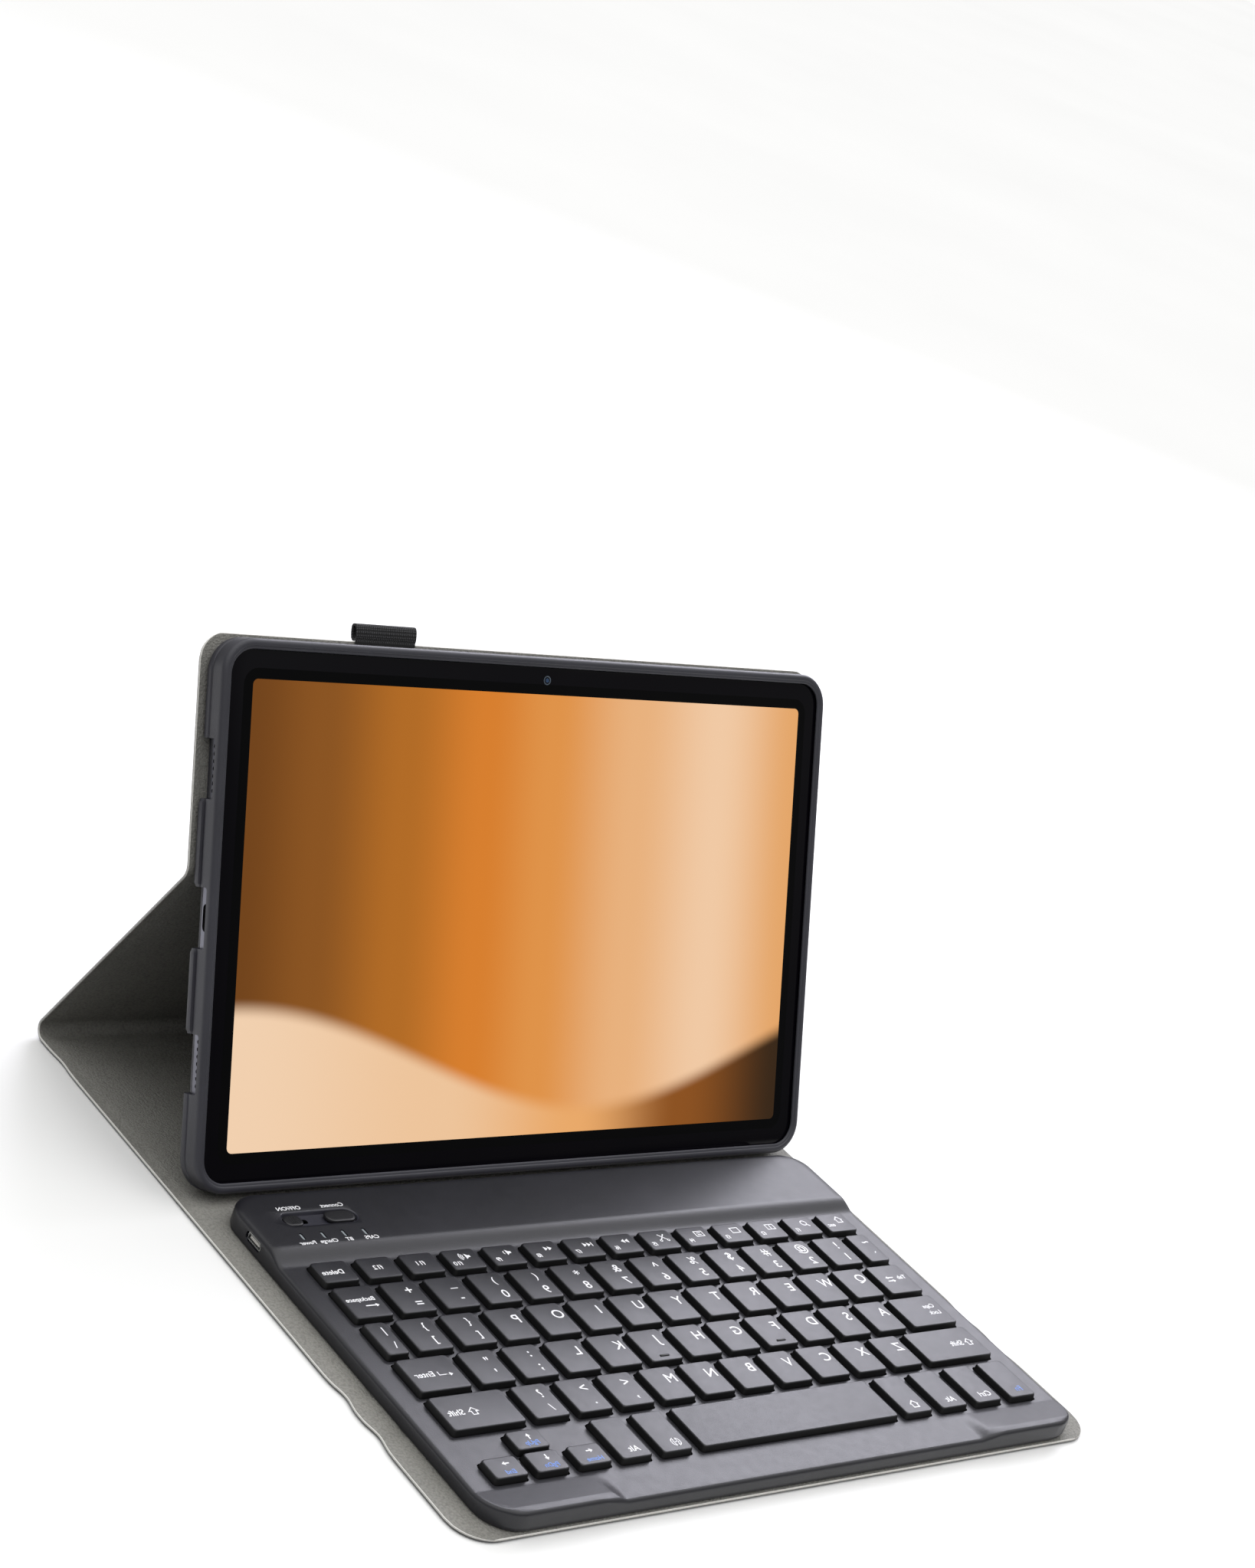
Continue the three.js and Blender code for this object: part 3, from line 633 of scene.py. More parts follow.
flap_leg = flat_leg(0.0, FLAP_LENGTH - FOLD)
cover_flap = cover_piece("cover_flap_leather", "flap", "cover_flap", flap_leg, free_start=FLAP_CORNER)
fold_one = flat_leg(strip_start - FOLD, 2 * FOLD)
cover_fold_one = fold_piece("cover_fold_front", fold_one, 6)
strip_leg = flat_leg(strip_start + FOLD, STRIP_LENGTH - 2 * FOLD)
cover_strip = cover_piece("cover_strip_leather", "front_strip", "cover_front_strip", strip_leg, step=3.0)
fold_two = flat_leg(base_start - FOLD, 2 * FOLD)
cover_fold_two = fold_piece("cover_fold_middle", fold_two, 6)
base_leg = flat_leg(base_start + FOLD, BASE_LENGTH - 2 * FOLD)
base_panel = cover_piece("cover_base_leather", "base", "cover_base_panel", base_leg)
spine_groove = fold_piece("cover_spine_groove", flat_leg(spine_start - FOLD, 2 * FOLD), 4)
mount(spine_groove, "base", "leather_outer")
spine_leg = flat_leg(spine_start + FOLD, SPINE_LENGTH - FOLD - REAR_REACH)
spine_panel = cover_piece("cover_spine_leather", "base", "cover_spine", spine_leg, step=3.0)

rear_arc = fold_leg(REAR_FOLD, 0.0, PROP_ANGLE, REAR_REACH, spine_leg.end)
cover_fold_rear = fold_piece("cover_fold_rear", rear_arc, 16)
prop_start = (REAR_FOLD[0] + REAR_REACH * cos(PROP_ANGLE), REAR_FOLD[1] + REAR_REACH * sin(PROP_ANGLE))
prop_leg = Leg(prop_start, PROP_ANGLE, PROP_LENGTH - REAR_REACH - BACK_REACH, along=rear_arc.end)
cover_prop = cover_piece("cover_prop_leather", "prop", "cover_prop_panel", prop_leg)
back_arc = fold_leg(BACK_FOLD, PROP_ANGLE, BACK_ANGLE, BACK_REACH, prop_leg.end)
cover_fold_back = fold_piece("cover_fold_back", back_arc, 10)
back_leg = Leg(on_back(0, BACK_REACH, 0)[1:], BACK_ANGLE, BACK_LENGTH - BACK_REACH, along=back_arc.end)
cover_back = cover_piece("cover_back_leather", "back", "cover_back_panel", back_leg, free_end=BACK_CORNER)

CAMERA_HOLE = rounded_rect((97, 49, 115, 67), 4, 6)
cut(cover_back, [prism("hole", CAMERA_HOLE, -3, 3, on_back)], 50.0)


def at_section(leg, t):
    y, z, _ = leg.at(t)
    return (0, y * MM, z * MM)


for piece, bodies, leg in ((cover_fold_one, ("flap", "front_strip"), fold_one),
                           (cover_fold_two, ("front_strip", "base"), fold_two),
                           (cover_fold_rear, ("base", "prop"), rear_arc),
                           (cover_fold_back, ("prop", "back"), back_arc)):
    at_section(leg, 0)
    at_section(leg, leg.length)
    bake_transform(piece)


# ---------------- pen loop
def pen_loop():
    """Flattened sleeve of elastic, sewn to the top edge of the back panel."""
    x0, x1, bottom, height, half, wall = -74.0, -50.0, BACK_LENGTH + 0.05, 5.7, 1.7, 0.7
    around, squareness = 28, 0.72
    xs = [x0 + (x1 - x0) * i / 40 for i in range(41)]

    def rounded(value):
        return copysign(abs(value) ** squareness, value)

    def section(x, inset):
        angles = [2 * pi * i / around for i in range(around)]
        return [on_back(x, bottom + height / 2 + (height / 2 - inset) * rounded(cos(a)),
                        (half - inset) * rounded(sin(a))) for a in angles]

    path = [(xs[0] + 0.15, 0.25)] + [(x, 0.03 * sin((x - x0) * 2 * pi / 1.2)) for x in xs]
    path += [(xs[-1] - 0.05, 0.3)] + [(x, wall) for x in reversed(xs)]
    verts, faces, slots = skin_rings([section(x, inset) for x, inset in path], caps=False)
    last = (len(path) - 1) * around
    for i in range(around):
        j = (i + 1) % around
        faces.append((last + i, last + j, j, i))
        slots.append(0)
    # The sewn tail, in front of the cover's edge.
    profile = ((74.15, 0.82), (76.6, 0.9), (76.6, 1.3), (74.15, 1.02))
    tail_verts, tail_faces, tail_slots = skin_rings([[on_back(x, y, z) for y, z in profile] for x in xs])
    tail_faces = [tuple(reversed(face)) for face in tail_faces]
    shape = merge((verts, faces, slots), (tail_verts, tail_faces, tail_slots))
    coords = [((x + 200) * MM, i * 0.45 * MM) for x, _ in path for i in range(around)]
    coords += [((x + 200) * MM, i * 0.8 * MM) for x in xs for i in range(4)]
    return mesh_object("pen_loop_elastic", shape, [ELASTIC], 60.0, coords)


loop = mount(pen_loop(), "back", "elastic_black", "pen_loop")


# ---------------- soft shell
def shell_rings():
    side_ys = sorted(
        [-85 + 10 * i for i in range(15)]
        + [edge + step for edge in (-68.1, -49.4, -23.0, -3.8, 23.5, 42.3) for step in (-1.2, -0.5, 0.5, 1.2)])
    side_xs = [-115 + 10 * i for i in range(24)]
    profile = [(7.0, 1.05), (1.4, 1.05), (0.85, 1.16), (0.41, 1.46), (0.11, 1.9), (0.0, 2.45),
               (0.0, 3.9), (0.08, 4.1), (0.34, 4.3), (0.36, 4.5), (0.16, 4.75), (0.12, 5.2), (0.1, 9.0)]
    for i in range(1, 7):
        a = radians(15 * i)
        profile.append((1.5 - 1.4 * cos(a), 9.35 + 1.4 * sin(a)))
    profile += [(2.1, 10.75), (2.35, 10.66), (2.5, 10.5), (3.0, 10.46), (3.25, 10.4), (3.45, 10.15), (3.5, 9.9),
                (3.45, 9.75), (2.0, 9.75), (1.8, 9.6), (1.72, 9.0), (1.72, 2.25), (7.0, 2.25)]
    rings = []
    for inset, z in profile:
        ring = []
        for x, y in inset_rect(SHELL_BOX, SHELL_CORNER, inset, 10, side_ys, side_xs):
            if z < 4.2 and inset < 1.5 and x < -125:
                window = max(smooth((y + 49.0) / 0.9) * smooth((-23.2 - y) / 0.9),
                             smooth((y + 3.4) / 0.9) * smooth((23.3 - y) / 0.9))
                x -= 0.6 * window
            ring.append(on_back(x, y, z))
        rings.append(ring)
    return rings


def through_side(name, reach, low, high, z0, z1, radius, material=None):
    """Slot with rounded ends through a side wall of the shell or the tablet."""
    return bar(name, rounded_rect((low, z0, high, z1), radius, 4), "x", reach, on_back, material)


SLOTS = ((-68.1, -49.4), (-23.0, -3.8), (23.5, 42.3))
SPEAKERS = (SLOTS[0], SLOTS[2])
shell = mesh_object("tablet_shell_soft", skin_rings(shell_rings()), [SHELL_PLASTIC], 40.0)
cutters = [prism("hole", CAMERA_HOLE, -3, 2.4, on_back)]
cutters += [through_side("slot", (-136, -127.6), *slot, -3.0, 8.2, 0.9) for slot in SLOTS]
cutters += [through_side("slot", (127.6, 136), *slot, -3.0, 8.2, 0.9) for slot in SPEAKERS]
cutters.append(bar("slot", rounded_rect((90, 2.95, 116, 8.05), 0.9, 4), "y", (78, 70.7), on_back))
mount(cut(shell, cutters, 40.0), "back", "shell_soft", "tablet_shell")


# ---------------- tablet
def tablet_rings(profile):
    return ring_stack(TABLET_BOX, TABLET_CORNER, profile, 10, on_back)


def tablet_body():
    profile = [(1.2, 2.55), (0.55, 2.66), (0.15, 3.0), (0.0, 3.6), (0.0, 7.9), (0.12, 8.2), (0.4, 8.35)]
    body = mesh_object("tablet_body_metal", skin_rings(tablet_rings(profile)), [ALUMINIUM, RECESS_PAINTED_SHADE], 40.0)
    # The port and speaker holes' walls take the near-black painted shade.
    cutters = [through_side("port", (-131, -124.5), -17.7, -9.0, 4.0, 7.2, 1.55, RECESS_PAINTED_SHADE)]
    for reach in ((-131, -127.3), (127.3, 131)):
        for low, high in SPEAKERS:
            for i in range(7):
                y = (low + high) / 2 + (i - 3) * 2.3
                cutters.append(through_side("hole", reach, y - 0.7, y + 0.7, 4.9, 6.3, 0.69, RECESS_PAINTED_SHADE))
    return cut(body, [join("cutters", cutters)], 40.0)


mount(tablet_body(), "back", "tablet_metal", "tablet_body")

# Tongue inside the tablet's charging port.
tongue = prism("tablet_port_tongue", rounded_rect((-128.0, -16.6, -124.6, -10.1), 0.3, 3), 5.3, 5.9, on_back,
               SWITCH_PLASTIC)
mount(tongue, "back", "tablet_metal")

glass_rings = tablet_rings([(0.4, 8.65), (0.4, 9.2), (0.55, 9.38), (0.85, 9.45)])
mount(mesh_object("tablet_glass_front", skin_rings(glass_rings), [GLASS], 30.0), "back", "tablet_glass", "tablet_glass")


def flat_piece(name, outline, z, place, material, hole=None, uv_box=None):
    """A thin printed or lit area lying on a surface; hole is an inner outline of equal length."""
    verts = [place(x, y, z) for x, y in outline]
    uvs = None
    if uv_box:
        x0, y0, x1, y1 = uv_box
        uvs = [((x - x0) / (x1 - x0), (y - y0) / (y1 - y0)) for x, y in outline]
    if hole is None:
        faces = [tuple(range(len(outline)))]
    else:
        count = len(outline)
        verts += [place(x, y, z) for x, y in hole]
        faces = [(i, (i + 1) % count, count + (i + 1) % count, count + i) for i in range(count)]
    return mesh_object(name, (verts, faces), [material], 30.0, uvs)


def disc(radius, count=28, cx=0.0, cy=0.0):
    angles = [2 * pi * i / count for i in range(count)]
    return [(cx + radius * cos(a), cy + radius * sin(a)) for a in angles]


LENS_BLUE = plastic("lens_blue", "#1c2c44", "#3f6390", 0.12, 900.0, 0.00001, 900.0)
LENS_RING = plastic("lens_ring", "#55606c", "#6c7884", 0.3, 900.0, 0.00001, 300.0, Metallic=0.6)
FRONT_LENS_Y = 66.2
REAR_LENS = (106, 58)
DISPLAY_CORNER = 1.9
LIT_Z = GLASS_Z + INK_LIFT


def glass_piece(name, outline, z, material, **more):
    return mount(flat_piece(name, outline, z, on_back, material, **more), "back", "tablet_glass")


display = glass_piece("tablet_display", rounded_rect(DISPLAY_BOX, DISPLAY_CORNER, 6), LIT_Z, SCREEN, uv_box=DISPLAY_BOX)
glass_piece("tablet_display_surround", inset_rect(DISPLAY_BOX, DISPLAY_CORNER, -3.4, 6), GLASS_Z + 0.015,
            DISPLAY_BORDER, hole=inset_rect(DISPLAY_BOX, DISPLAY_CORNER, 0.02, 6))
glass_piece("front_camera_ring", disc(1.55, cy=FRONT_LENS_Y), LIT_Z, LENS_RING, hole=disc(1.15, cy=FRONT_LENS_Y))
glass_piece("front_camera_lens", disc(0.75, cy=FRONT_LENS_Y), LIT_Z, LENS_BLUE)
for piece in (
    glass_piece("rear_camera_ring", disc(5.2, 40, *REAR_LENS), TABLET_BACK_Z - 0.05, LENS_RING,
                hole=disc(4.0, 40, *REAR_LENS)),
    glass_piece("rear_camera_lens", disc(4.0, 40, *REAR_LENS), TABLET_BACK_Z - 0.04, GLASS),
):
    piece.data.flip_normals()
# The picture is dim beside studio light, so it throws no glow on the keyboard.
display.visible_glossy = display.visible_diffuse = False


# ---------------- keyboard deck
HUMP_START, HUMP_RUN = 120.0, 8.2
PALM_START, PALM_RUN, PALM_RISE = 13.4, 10.2, 1.6
PALM_INNER, PALM_BLEND = 74.5, 6.5
DECK_FRONT_CORNER, DECK_REAR_CORNER = 12.0, 10.0


def deck_height(x, y):
    """Height of the deck's top surface before its edges are rounded."""
    height = DECK_TOP + (HUMP_TOP - DECK_TOP) * smooth((y - HUMP_START) / HUMP_RUN)
    if y < PALM_START:
        slope = clamp((PALM_START - y) / PALM_RUN)
        height += PALM_RISE * smooth((abs(x) - PALM_INNER) / PALM_BLEND) * slope
    return height


def edge_drop(distance, radius):
    if distance >= radius:
        return 0.0
    return radius - sqrt(radius ** 2 - (radius - max(distance, 0)) ** 2)


def deck_solid():
    half = BOARD_HALF

    def corner(radius):
        return [radius * (1 - cos(radians(a))) for a in range(0, 91, 9)]

    rows = corner(DECK_FRONT_CORNER) + [0.25, 0.6, 1.0, 3.2, 4.5, 6.0, 7.5, 9.0, 10.2, 11.4, 12.6, 13.1, 13.4]
    rows += [14 + 7 * i for i in range(15)] + [119.5 + 0.6 * i for i in range(16)] + [132, 136, 140, 143]
    rows += [BOARD_LENGTH - d for d in corner(DECK_REAR_CORNER) + [0.3, 0.7, 1.2, 1.8]]
    rows = sorted(set(round(r, 4) for r in rows))
    near = [0, 0.12, 0.3, 0.55, 0.85, 1.3, 2.0, 4.0, 8.0, 14.0, 22.0, 32.0, 40.5]
    side = [-half + d for d in near] + [0.75 * i - 81.5 for i in range(11)]
    columns = side + [-70 + 10 * i for i in range(15)] + [-c for c in side]
    columns = sorted(set(round(c, 4) for c in columns))
    verts = []
    for y in rows:
        ends = ((DECK_FRONT_CORNER, y), (DECK_REAR_CORNER, BOARD_LENGTH - y))
        for c in columns:
            x = c * panel_width(half, ends) / half
            drop = edge_drop(edge_distance(x, half, ends), 1.3 + 0.9 * smooth((y - 122) / 6))
            verts += [on_board(x, y, deck_height(x, y) - drop), on_board(x, y, DECK_BASE)]
    shape = (verts, *slab_faces(len(rows), len(columns)))
    return mesh_object("keyboard_deck_shell", shape, [DECK_PLASTIC, RECESS_PAINTED_SHADE])


class Key:
    def __init__(self, name, x, width, y, depth):
        self.name, self.x, self.y, self.width, self.depth = name, x - BLOCK_HALF, y, width, depth


KEYS = {}


def key_row(row, start, names, width, pitch=0.0, depth=15.2):
    for i, name in enumerate(names.split()):
        KEYS[name] = Key(name, start + i * pitch, width, ROWS[row], depth)


SHORT = 12.6
SHORT_PITCH = (2 * BLOCK_HALF - SHORT) / 13
WIDE = 12.8
LAST_DEPTH = 18.2
ARROW_WIDTH, ARROW_DEPTH = 11.7, 8.6
key_row(1, 0, "delete f12 f11 f10 f9 f8 f7 f6 f5 f4 f3 f2 f1 escape", SHORT, SHORT_PITCH, 10.0)
key_row(2, 0, "backspace", 13.6)
key_row(2, 17.5, "equals minus n0 n9 n8 n7 n6 n5 n4 n3 n2 n1", WIDE, PITCH)
key_row(2, 219, "grave", 9)
key_row(3, 0, "backslash", 7.6)
key_row(3, 11.6, "bracket_right bracket_left p o i u y t r e w q", WIDE, PITCH)
key_row(3, 213.1, "tab", 14.9)
key_row(4, 0, "enter", 18.8)
key_row(4, 22.8, "quote semicolon l k j h g f d s a", WIDE, PITCH)
key_row(4, 207.5, "caps", 20.5)
key_row(5, 0, "shift_left", 26.6)
key_row(5, 30.6, "slash period comma m n b v c x z", WIDE, PITCH)
key_row(5, 198.6, "shift_right", 29.4)
key_row(6, 0, "arrow_left", ARROW_WIDTH, depth=ARROW_DEPTH)
key_row(6, 15.3, "arrow_down", ARROW_WIDTH, depth=ARROW_DEPTH)
key_row(6, 31.4, "arrow_right", ARROW_WIDTH, depth=ARROW_DEPTH)
KEYS["arrow_up"] = Key("arrow_up", 15.3, ARROW_WIDTH, 25.3, 8.0)
key_row(6, 47.4, "alt_left globe", 11.4, 16.1, LAST_DEPTH)
key_row(6, 79.6, "space", 83.4, depth=LAST_DEPTH)
key_row(6, 167.2, "home alt_right control fn", 11.6, 16.4, LAST_DEPTH)


def key_outline(key, margin, steps=3):
    box = (key.x - margin, key.y - margin, key.x + key.width + margin, key.y + key.depth + margin)
    return rounded_rect(box, KEY_CORNER + max(margin, 0) * 0.3, steps)


def board_box(name, outline, radius, z0, z1, steps=4, material=None):
    return prism(name, rounded_rect(outline, radius, steps), z0, z1, on_board, material)


KEY_GAP = 0.75
WALL = 1.6
inside = BOARD_HALF - WALL
deck = deck_solid()
cavity = board_box("cavity", (-inside, WALL, inside, BOARD_LENGTH - WALL), 9, 0.2, DECK_TOP - 0.9, 5)
hump_room = board_box("cavity", (-inside, 128, inside, BOARD_LENGTH - WALL), 4, 3.0, 5.6, 5)
# The key holes' walls take the near-black painted shade.
holes = [prism("hole", key_outline(key, KEY_GAP, 2), 3.0, 9.0, on_board, RECESS_PAINTED_SHADE) for key in KEYS.values()]
TRAY = (-111, 137.2, -83, 144.2)
TRAY_PROFILE = ((0.35, 6.2), (0.1, 6.9), (0.0, 7.25), (-0.15, 7.42), (-0.4, 7.52), (-0.4, 9.0))
# The tray's floor and walls take the lighter tray plastic: painted light.
tray = mesh_object("tray", skin_rings(ring_stack(TRAY, 3.4, TRAY_PROFILE, 8, on_board)), [TRAY_PAINTED_LIGHT])
# The switch and button slots take the near-black painted shade.
switch_slot = board_box("slot", (-108.8, 139.6, -101.2, 141.8), 0.8, 4, 7, 4, RECESS_PAINTED_SHADE)
button_slot = board_box("slot", (-90.6, 139.1, -87.4, 142.3), 0.8, 4, 7, 4, RECESS_PAINTED_SHADE)
lights, windows = [], []
for x in (-109, -101.1, -93.2, -85.3):
    lights.append(board_box("slot", (x - 0.62, 130.1, x + 0.62, 133.5), 0.6, 4, 9))
    windows.append(board_box("window", (x - 0.5, 130.25, x + 0.42, 133.3), 0.4, 4.6, 7.2, 4, LIGHT_CLEAR))
port_reach = (-BOARD_HALF - 1, -BOARD_HALF + 3)
port_hole = bar("port", rounded_rect((131.7, 2.2, 140.3, 5.6), 1.5, 5), "x", port_reach, on_board)
cut(deck, [cavity, hump_room, join("holes", holes), tray, switch_slot, button_slot, join("lights", lights), port_hole])
mount(deck, "keyboard", "deck_plastic", "keyboard_deck")

windows.append(board_box("strip", (-110, 130.6, -84.4, 133.0), 0.5, 4.0, 4.7, 3, LIGHT_CLEAR))
mount(join("status_light_windows", windows), "keyboard", "light_clear", "status_lights")
# Contact tongue inside the charging socket.
contact = board_box("usb_contact_tongue", (-122.9, 133.3, -117.6, 138.7), 0.3, 3.6, 4.4, 3, CONTACT_PALE)
mount(contact, "keyboard", "key_plastic")

# ---------------- printed legends
GLYPHS = {}
INK_SPREAD = 0.06
WHITE, BLUE = 2, 3


def unit(x, y):
    long = hypot(x, y) or 1.0
    return x / long, y / long


def spread(points, polygons, amount):
    """Moves the outline of a flat mesh outwards, to make a word bolder."""
    edges = {}
    for polygon in polygons:
        for a, b in zip(polygon, polygon[1:] + polygon[:1]):
            if (b, a) in edges:
                del edges[(b, a)]
            else:
                edges[(a, b)] = True
    outward = {}
    for a, b in edges:
        dx, dy = unit(points[b][0] - points[a][0], points[b][1] - points[a][1])
        for end in (a, b):
            outward.setdefault(end, []).append((dy, -dx))
    moved = list(points)
    for i, normals in outward.items():
        nx, ny = unit(sum(n[0] for n in normals), sum(n[1] for n in normals))
        reach = amount / max(nx * normals[0][0] + ny * normals[0][1], 0.6)
        moved[i] = (points[i][0] + nx * reach, points[i][1] + ny * reach)
    return moved


def glyph(text, size):
    """Flat triangles of a word at a type size in millimetres, centred on its own middle."""
    if (text, size) not in GLYPHS:
        curve = bpy.data.curves.new("word", "FONT")
        curve.body = text
        curve.size = size
        curve.resolution_u = 4
        holder = add_object("word", curve)
        bpy.context.view_layer.update()
        mesh = holder.to_mesh()
        points = [(v.co.x, v.co.y) for v in mesh.vertices]
        polygons = [tuple(p.vertices) for p in mesh.polygons]
        up = mesh.polygons[0].normal.z > 0
        holder.to_mesh_clear()
        bpy.data.objects.remove(holder)
        points = spread(points, polygons, INK_SPREAD if up else -INK_SPREAD)
        xs, ys = [p[0] for p in points], [p[1] for p in points]
        cx, cy = (min(xs) + max(xs)) / 2, (min(ys) + max(ys)) / 2
        GLYPHS[(text, size)] = ([(x - cx, y - cy) for x, y in points], polygons)
    return GLYPHS[(text, size)]


class Print:
    """Collects flat printed shapes in board coordinates. Words are mirrored, as in the photograph."""

    def __init__(self):
        self.verts, self.faces, self.slots = [], [], []
        self.zoom = 1.0

    def shape(self, points, faces, cx, cy, slot):
        base = len(self.verts)
        self.verts += [(cx + x * self.zoom, cy + y * self.zoom) for x, y in points]
        self.faces += [tuple(base + i for i in face) for face in faces]
        self.slots += [slot] * len(faces)

    def word(self, text, cx, cy, size, slot=WHITE):
        if text in "|{}[]()\\/":
            size *= 0.8
        points, faces = glyph(text, size)
        self.shape([(-x, y) for x, y in points], [tuple(reversed(face)) for face in faces], cx, cy, slot)

    def poly(self, points, cx, cy):
        """A filled shape."""
        area = sum(a[0] * b[1] - b[0] * a[1] for a, b in zip(points, points[1:] + points[:1]))
        ordered = points if area > 0 else points[::-1]
        self.shape(ordered, [tuple(range(len(points)))], cx, cy, WHITE)

    def line(self, points, cx, cy, width, closed=False):
        """A pen stroke of even width, mitred where it turns."""
        count = len(points)
        sides = []
        for i, (x, y) in enumerate(points):
            ahead = points[(i + 1) % count] if closed or i < count - 1 else None
            behind = points[i - 1] if closed or i > 0 else None
            across = []
            for (ax, ay), (bx, by) in [pair for pair in ((behind, (x, y)), ((x, y), ahead)) if None not in pair]:
                across.append(unit(-(by - ay), bx - ax))
            mx, my = unit(sum(a[0] for a in across), sum(a[1] for a in across))
            reach = width / 2 / max(mx * across[0][0] + my * across[0][1], 0.4)
            sides.append(((x + mx * reach, y + my * reach), (x - mx * reach, y - my * reach)))
        for i in range(count if closed else count - 1):
            (a, b), (c, d) = sides[i], sides[(i + 1) % count]
            self.poly([a, b, d, c], cx, cy)


def arrow(pen, cx, cy, dx, dy, length):
    """Small solid arrow that points along (dx, dy)."""
    tip = length / 2
    pts = [(tip, 0), (tip - 1.2, 0.85), (tip - 1.2, 0.25), (-tip, 0.25), (-tip, -0.25), (tip - 1.2, -0.25),
           (tip - 1.2, -0.85)]
    pen.poly([(x * dx - y * dy, x * dy + y * dx) for x, y in pts], cx, cy)


# Icons of plain shapes: the strokes are points, width and whether they close; a shape alone is filled.
FRAME = ([(-1.2, -0.9), (1.2, -0.9), (1.2, 0.9), (-1.2, 0.9)], 0.28, True)
HORN = ([(0.9, 0.35), (0.9, -0.35), (0.35, -0.35), (-0.4, -1.0), (-0.4, 1.0), (0.35, 0.35)],)


def wedges(side):
    return [([(side * a, 0.75), (side * a, -0.75), (side * (a + 1.05), 0)],) for a in (-1.0, 0.15)]


def sound(reach):
    angles = [radians(a) for a in range(-45, 46, 15)]
    return ([(-0.4 - reach * cos(a), reach * sin(a)) for a in angles], 0.24)


ICON_SHAPES = {
    "home": [([(-1.2, 0.0), (0, 1.2), (1.2, 0.0)], 0.3),
             ([(-0.8, 0.1), (-0.8, -1.0), (0.8, -1.0), (0.8, 0.1)], 0.3)],
    "search": [(disc(0.85, 14, -0.2, 0.2), 0.3, True), ([(0.42, -0.42), (1.1, -1.1)], 0.35)],
    "frame": [FRAME],
    "pages": [FRAME, ([(-0.6, -0.3), (0.6, -0.3)], 0.28), ([(-0.6, 0.3), (0.6, 0.3)], 0.28)],
    "keys": [FRAME, ([(0, -0.9), (0, 0.9)], 0.28)],
    "cut": [([(-0.9, -0.9), (0.9, 1.1)], 0.3), ([(0.9, -0.9), (-0.9, 1.1)], 0.3),
            (disc(0.32, 10, -1.1, -1.15), 0.22, True), (disc(0.32, 10, 1.1, -1.15), 0.22, True)],
    "forward": wedges(-1),
    "rewind": wedges(1),
    "play": wedges(1) + [([(1.5, -0.7), (1.5, 0.7)], 0.3)],
    "mute": [HORN, sound(0.75)],
    "loud": [HORN] + [sound(0.75 + 0.45 * i) for i in range(3)],
    "globe": [(disc(1.7, 20), 0.36, True), ([(x * 0.45, y) for x, y in disc(1.7, 20)], 0.32, True),
              ([(-1.7, 0), (1.7, 0)], 0.32)],
    "shift": [([(0, 1.7), (1.7, 0.1), (0.85, 0.1), (0.85, -1.4), (-0.85, -1.4), (-0.85, 0.1), (-1.7, 0.1)],
               0.36, True)],
    "return": [([(-2.4, 1.0), (-2.4, -0.6), (1.2, -0.6)], 0.35)],
}


def icon(pen, kind, cx, cy, zoom=1.0):
    pen.zoom = zoom
    for points, *stroke in ICON_SHAPES[kind]:
        if stroke:
            pen.line(points, cx, cy, *stroke)
        else:
            pen.poly(points, cx, cy)
    pen.zoom = 1.0


# The upper and lower symbol of a key.
DUALS = {
    "equals": "+=", "minus": "_-", "n0": ")0", "n9": "(9", "n8": "*8", "n7": "&7", "n6": "^6", "n5": "%5", "n4": "$4",
    "n3": "#3", "n2": "@2", "n1": "!1", "grave": "~`", "backslash": "|\\", "bracket_right": "}]",
    "bracket_left": "{[", "quote": "\"'", "semicolon": ":;", "slash": "?/", "period": ">.", "comma": "<,",
}
FUNCTION_ICONS = {1: "search", 2: "keys", 3: "frame", 4: "pages", 5: "cut", 6: "forward", 7: "play", 8: "rewind",
                  9: "mute", 10: "loud"}
CAP_TYPE = 4.2 / 0.73
SYMBOL_TYPE = 5.3
ICON_ZOOM = 1.45


# Words on keys: text, place from the key's left and front edges, type size and, where not white, ink.
WORDS = {
    "escape": [("esc", 3.0, 3.6, 2.7)], "delete": [("Delete", 5.1, 4.7, 3.0)],
    "backspace": [("Backspace", 6.3, 8.4, 2.6)], "enter": [("Enter", 5.6, 7.3, 3.3)],
    "shift_left": [("Shift", 5.1, 7.3, 3.4)], "shift_right": [("Shift", 18.8, 7.3, 3.4)],
    "tab": [("Tab", 11.2, 8.2, 2.7)], "caps": [("Caps", 14.8, 9.3, 2.7), ("Lock", 15.0, 6.1, 2.7)],
    "alt_left": [("Alt", 6.6, 3.7, 3.4)], "alt_right": [("Alt", 6.6, 3.7, 3.4)],
    "control": [("Ctrl", 6.6, 3.7, 3.4)], "fn": [("Fn", 6.6, 3.7, 3.4, BLUE)],
    "arrow_left": [("End", 6.4, 2.1, 2.5, BLUE)], "arrow_right": [("Home", 6.4, 2.1, 2.5, BLUE)],
    "arrow_up": [("PgUp", 6.4, 2.1, 2.5, BLUE)], "arrow_down": [("PgDn", 6.4, 2.1, 2.5, BLUE)],
}
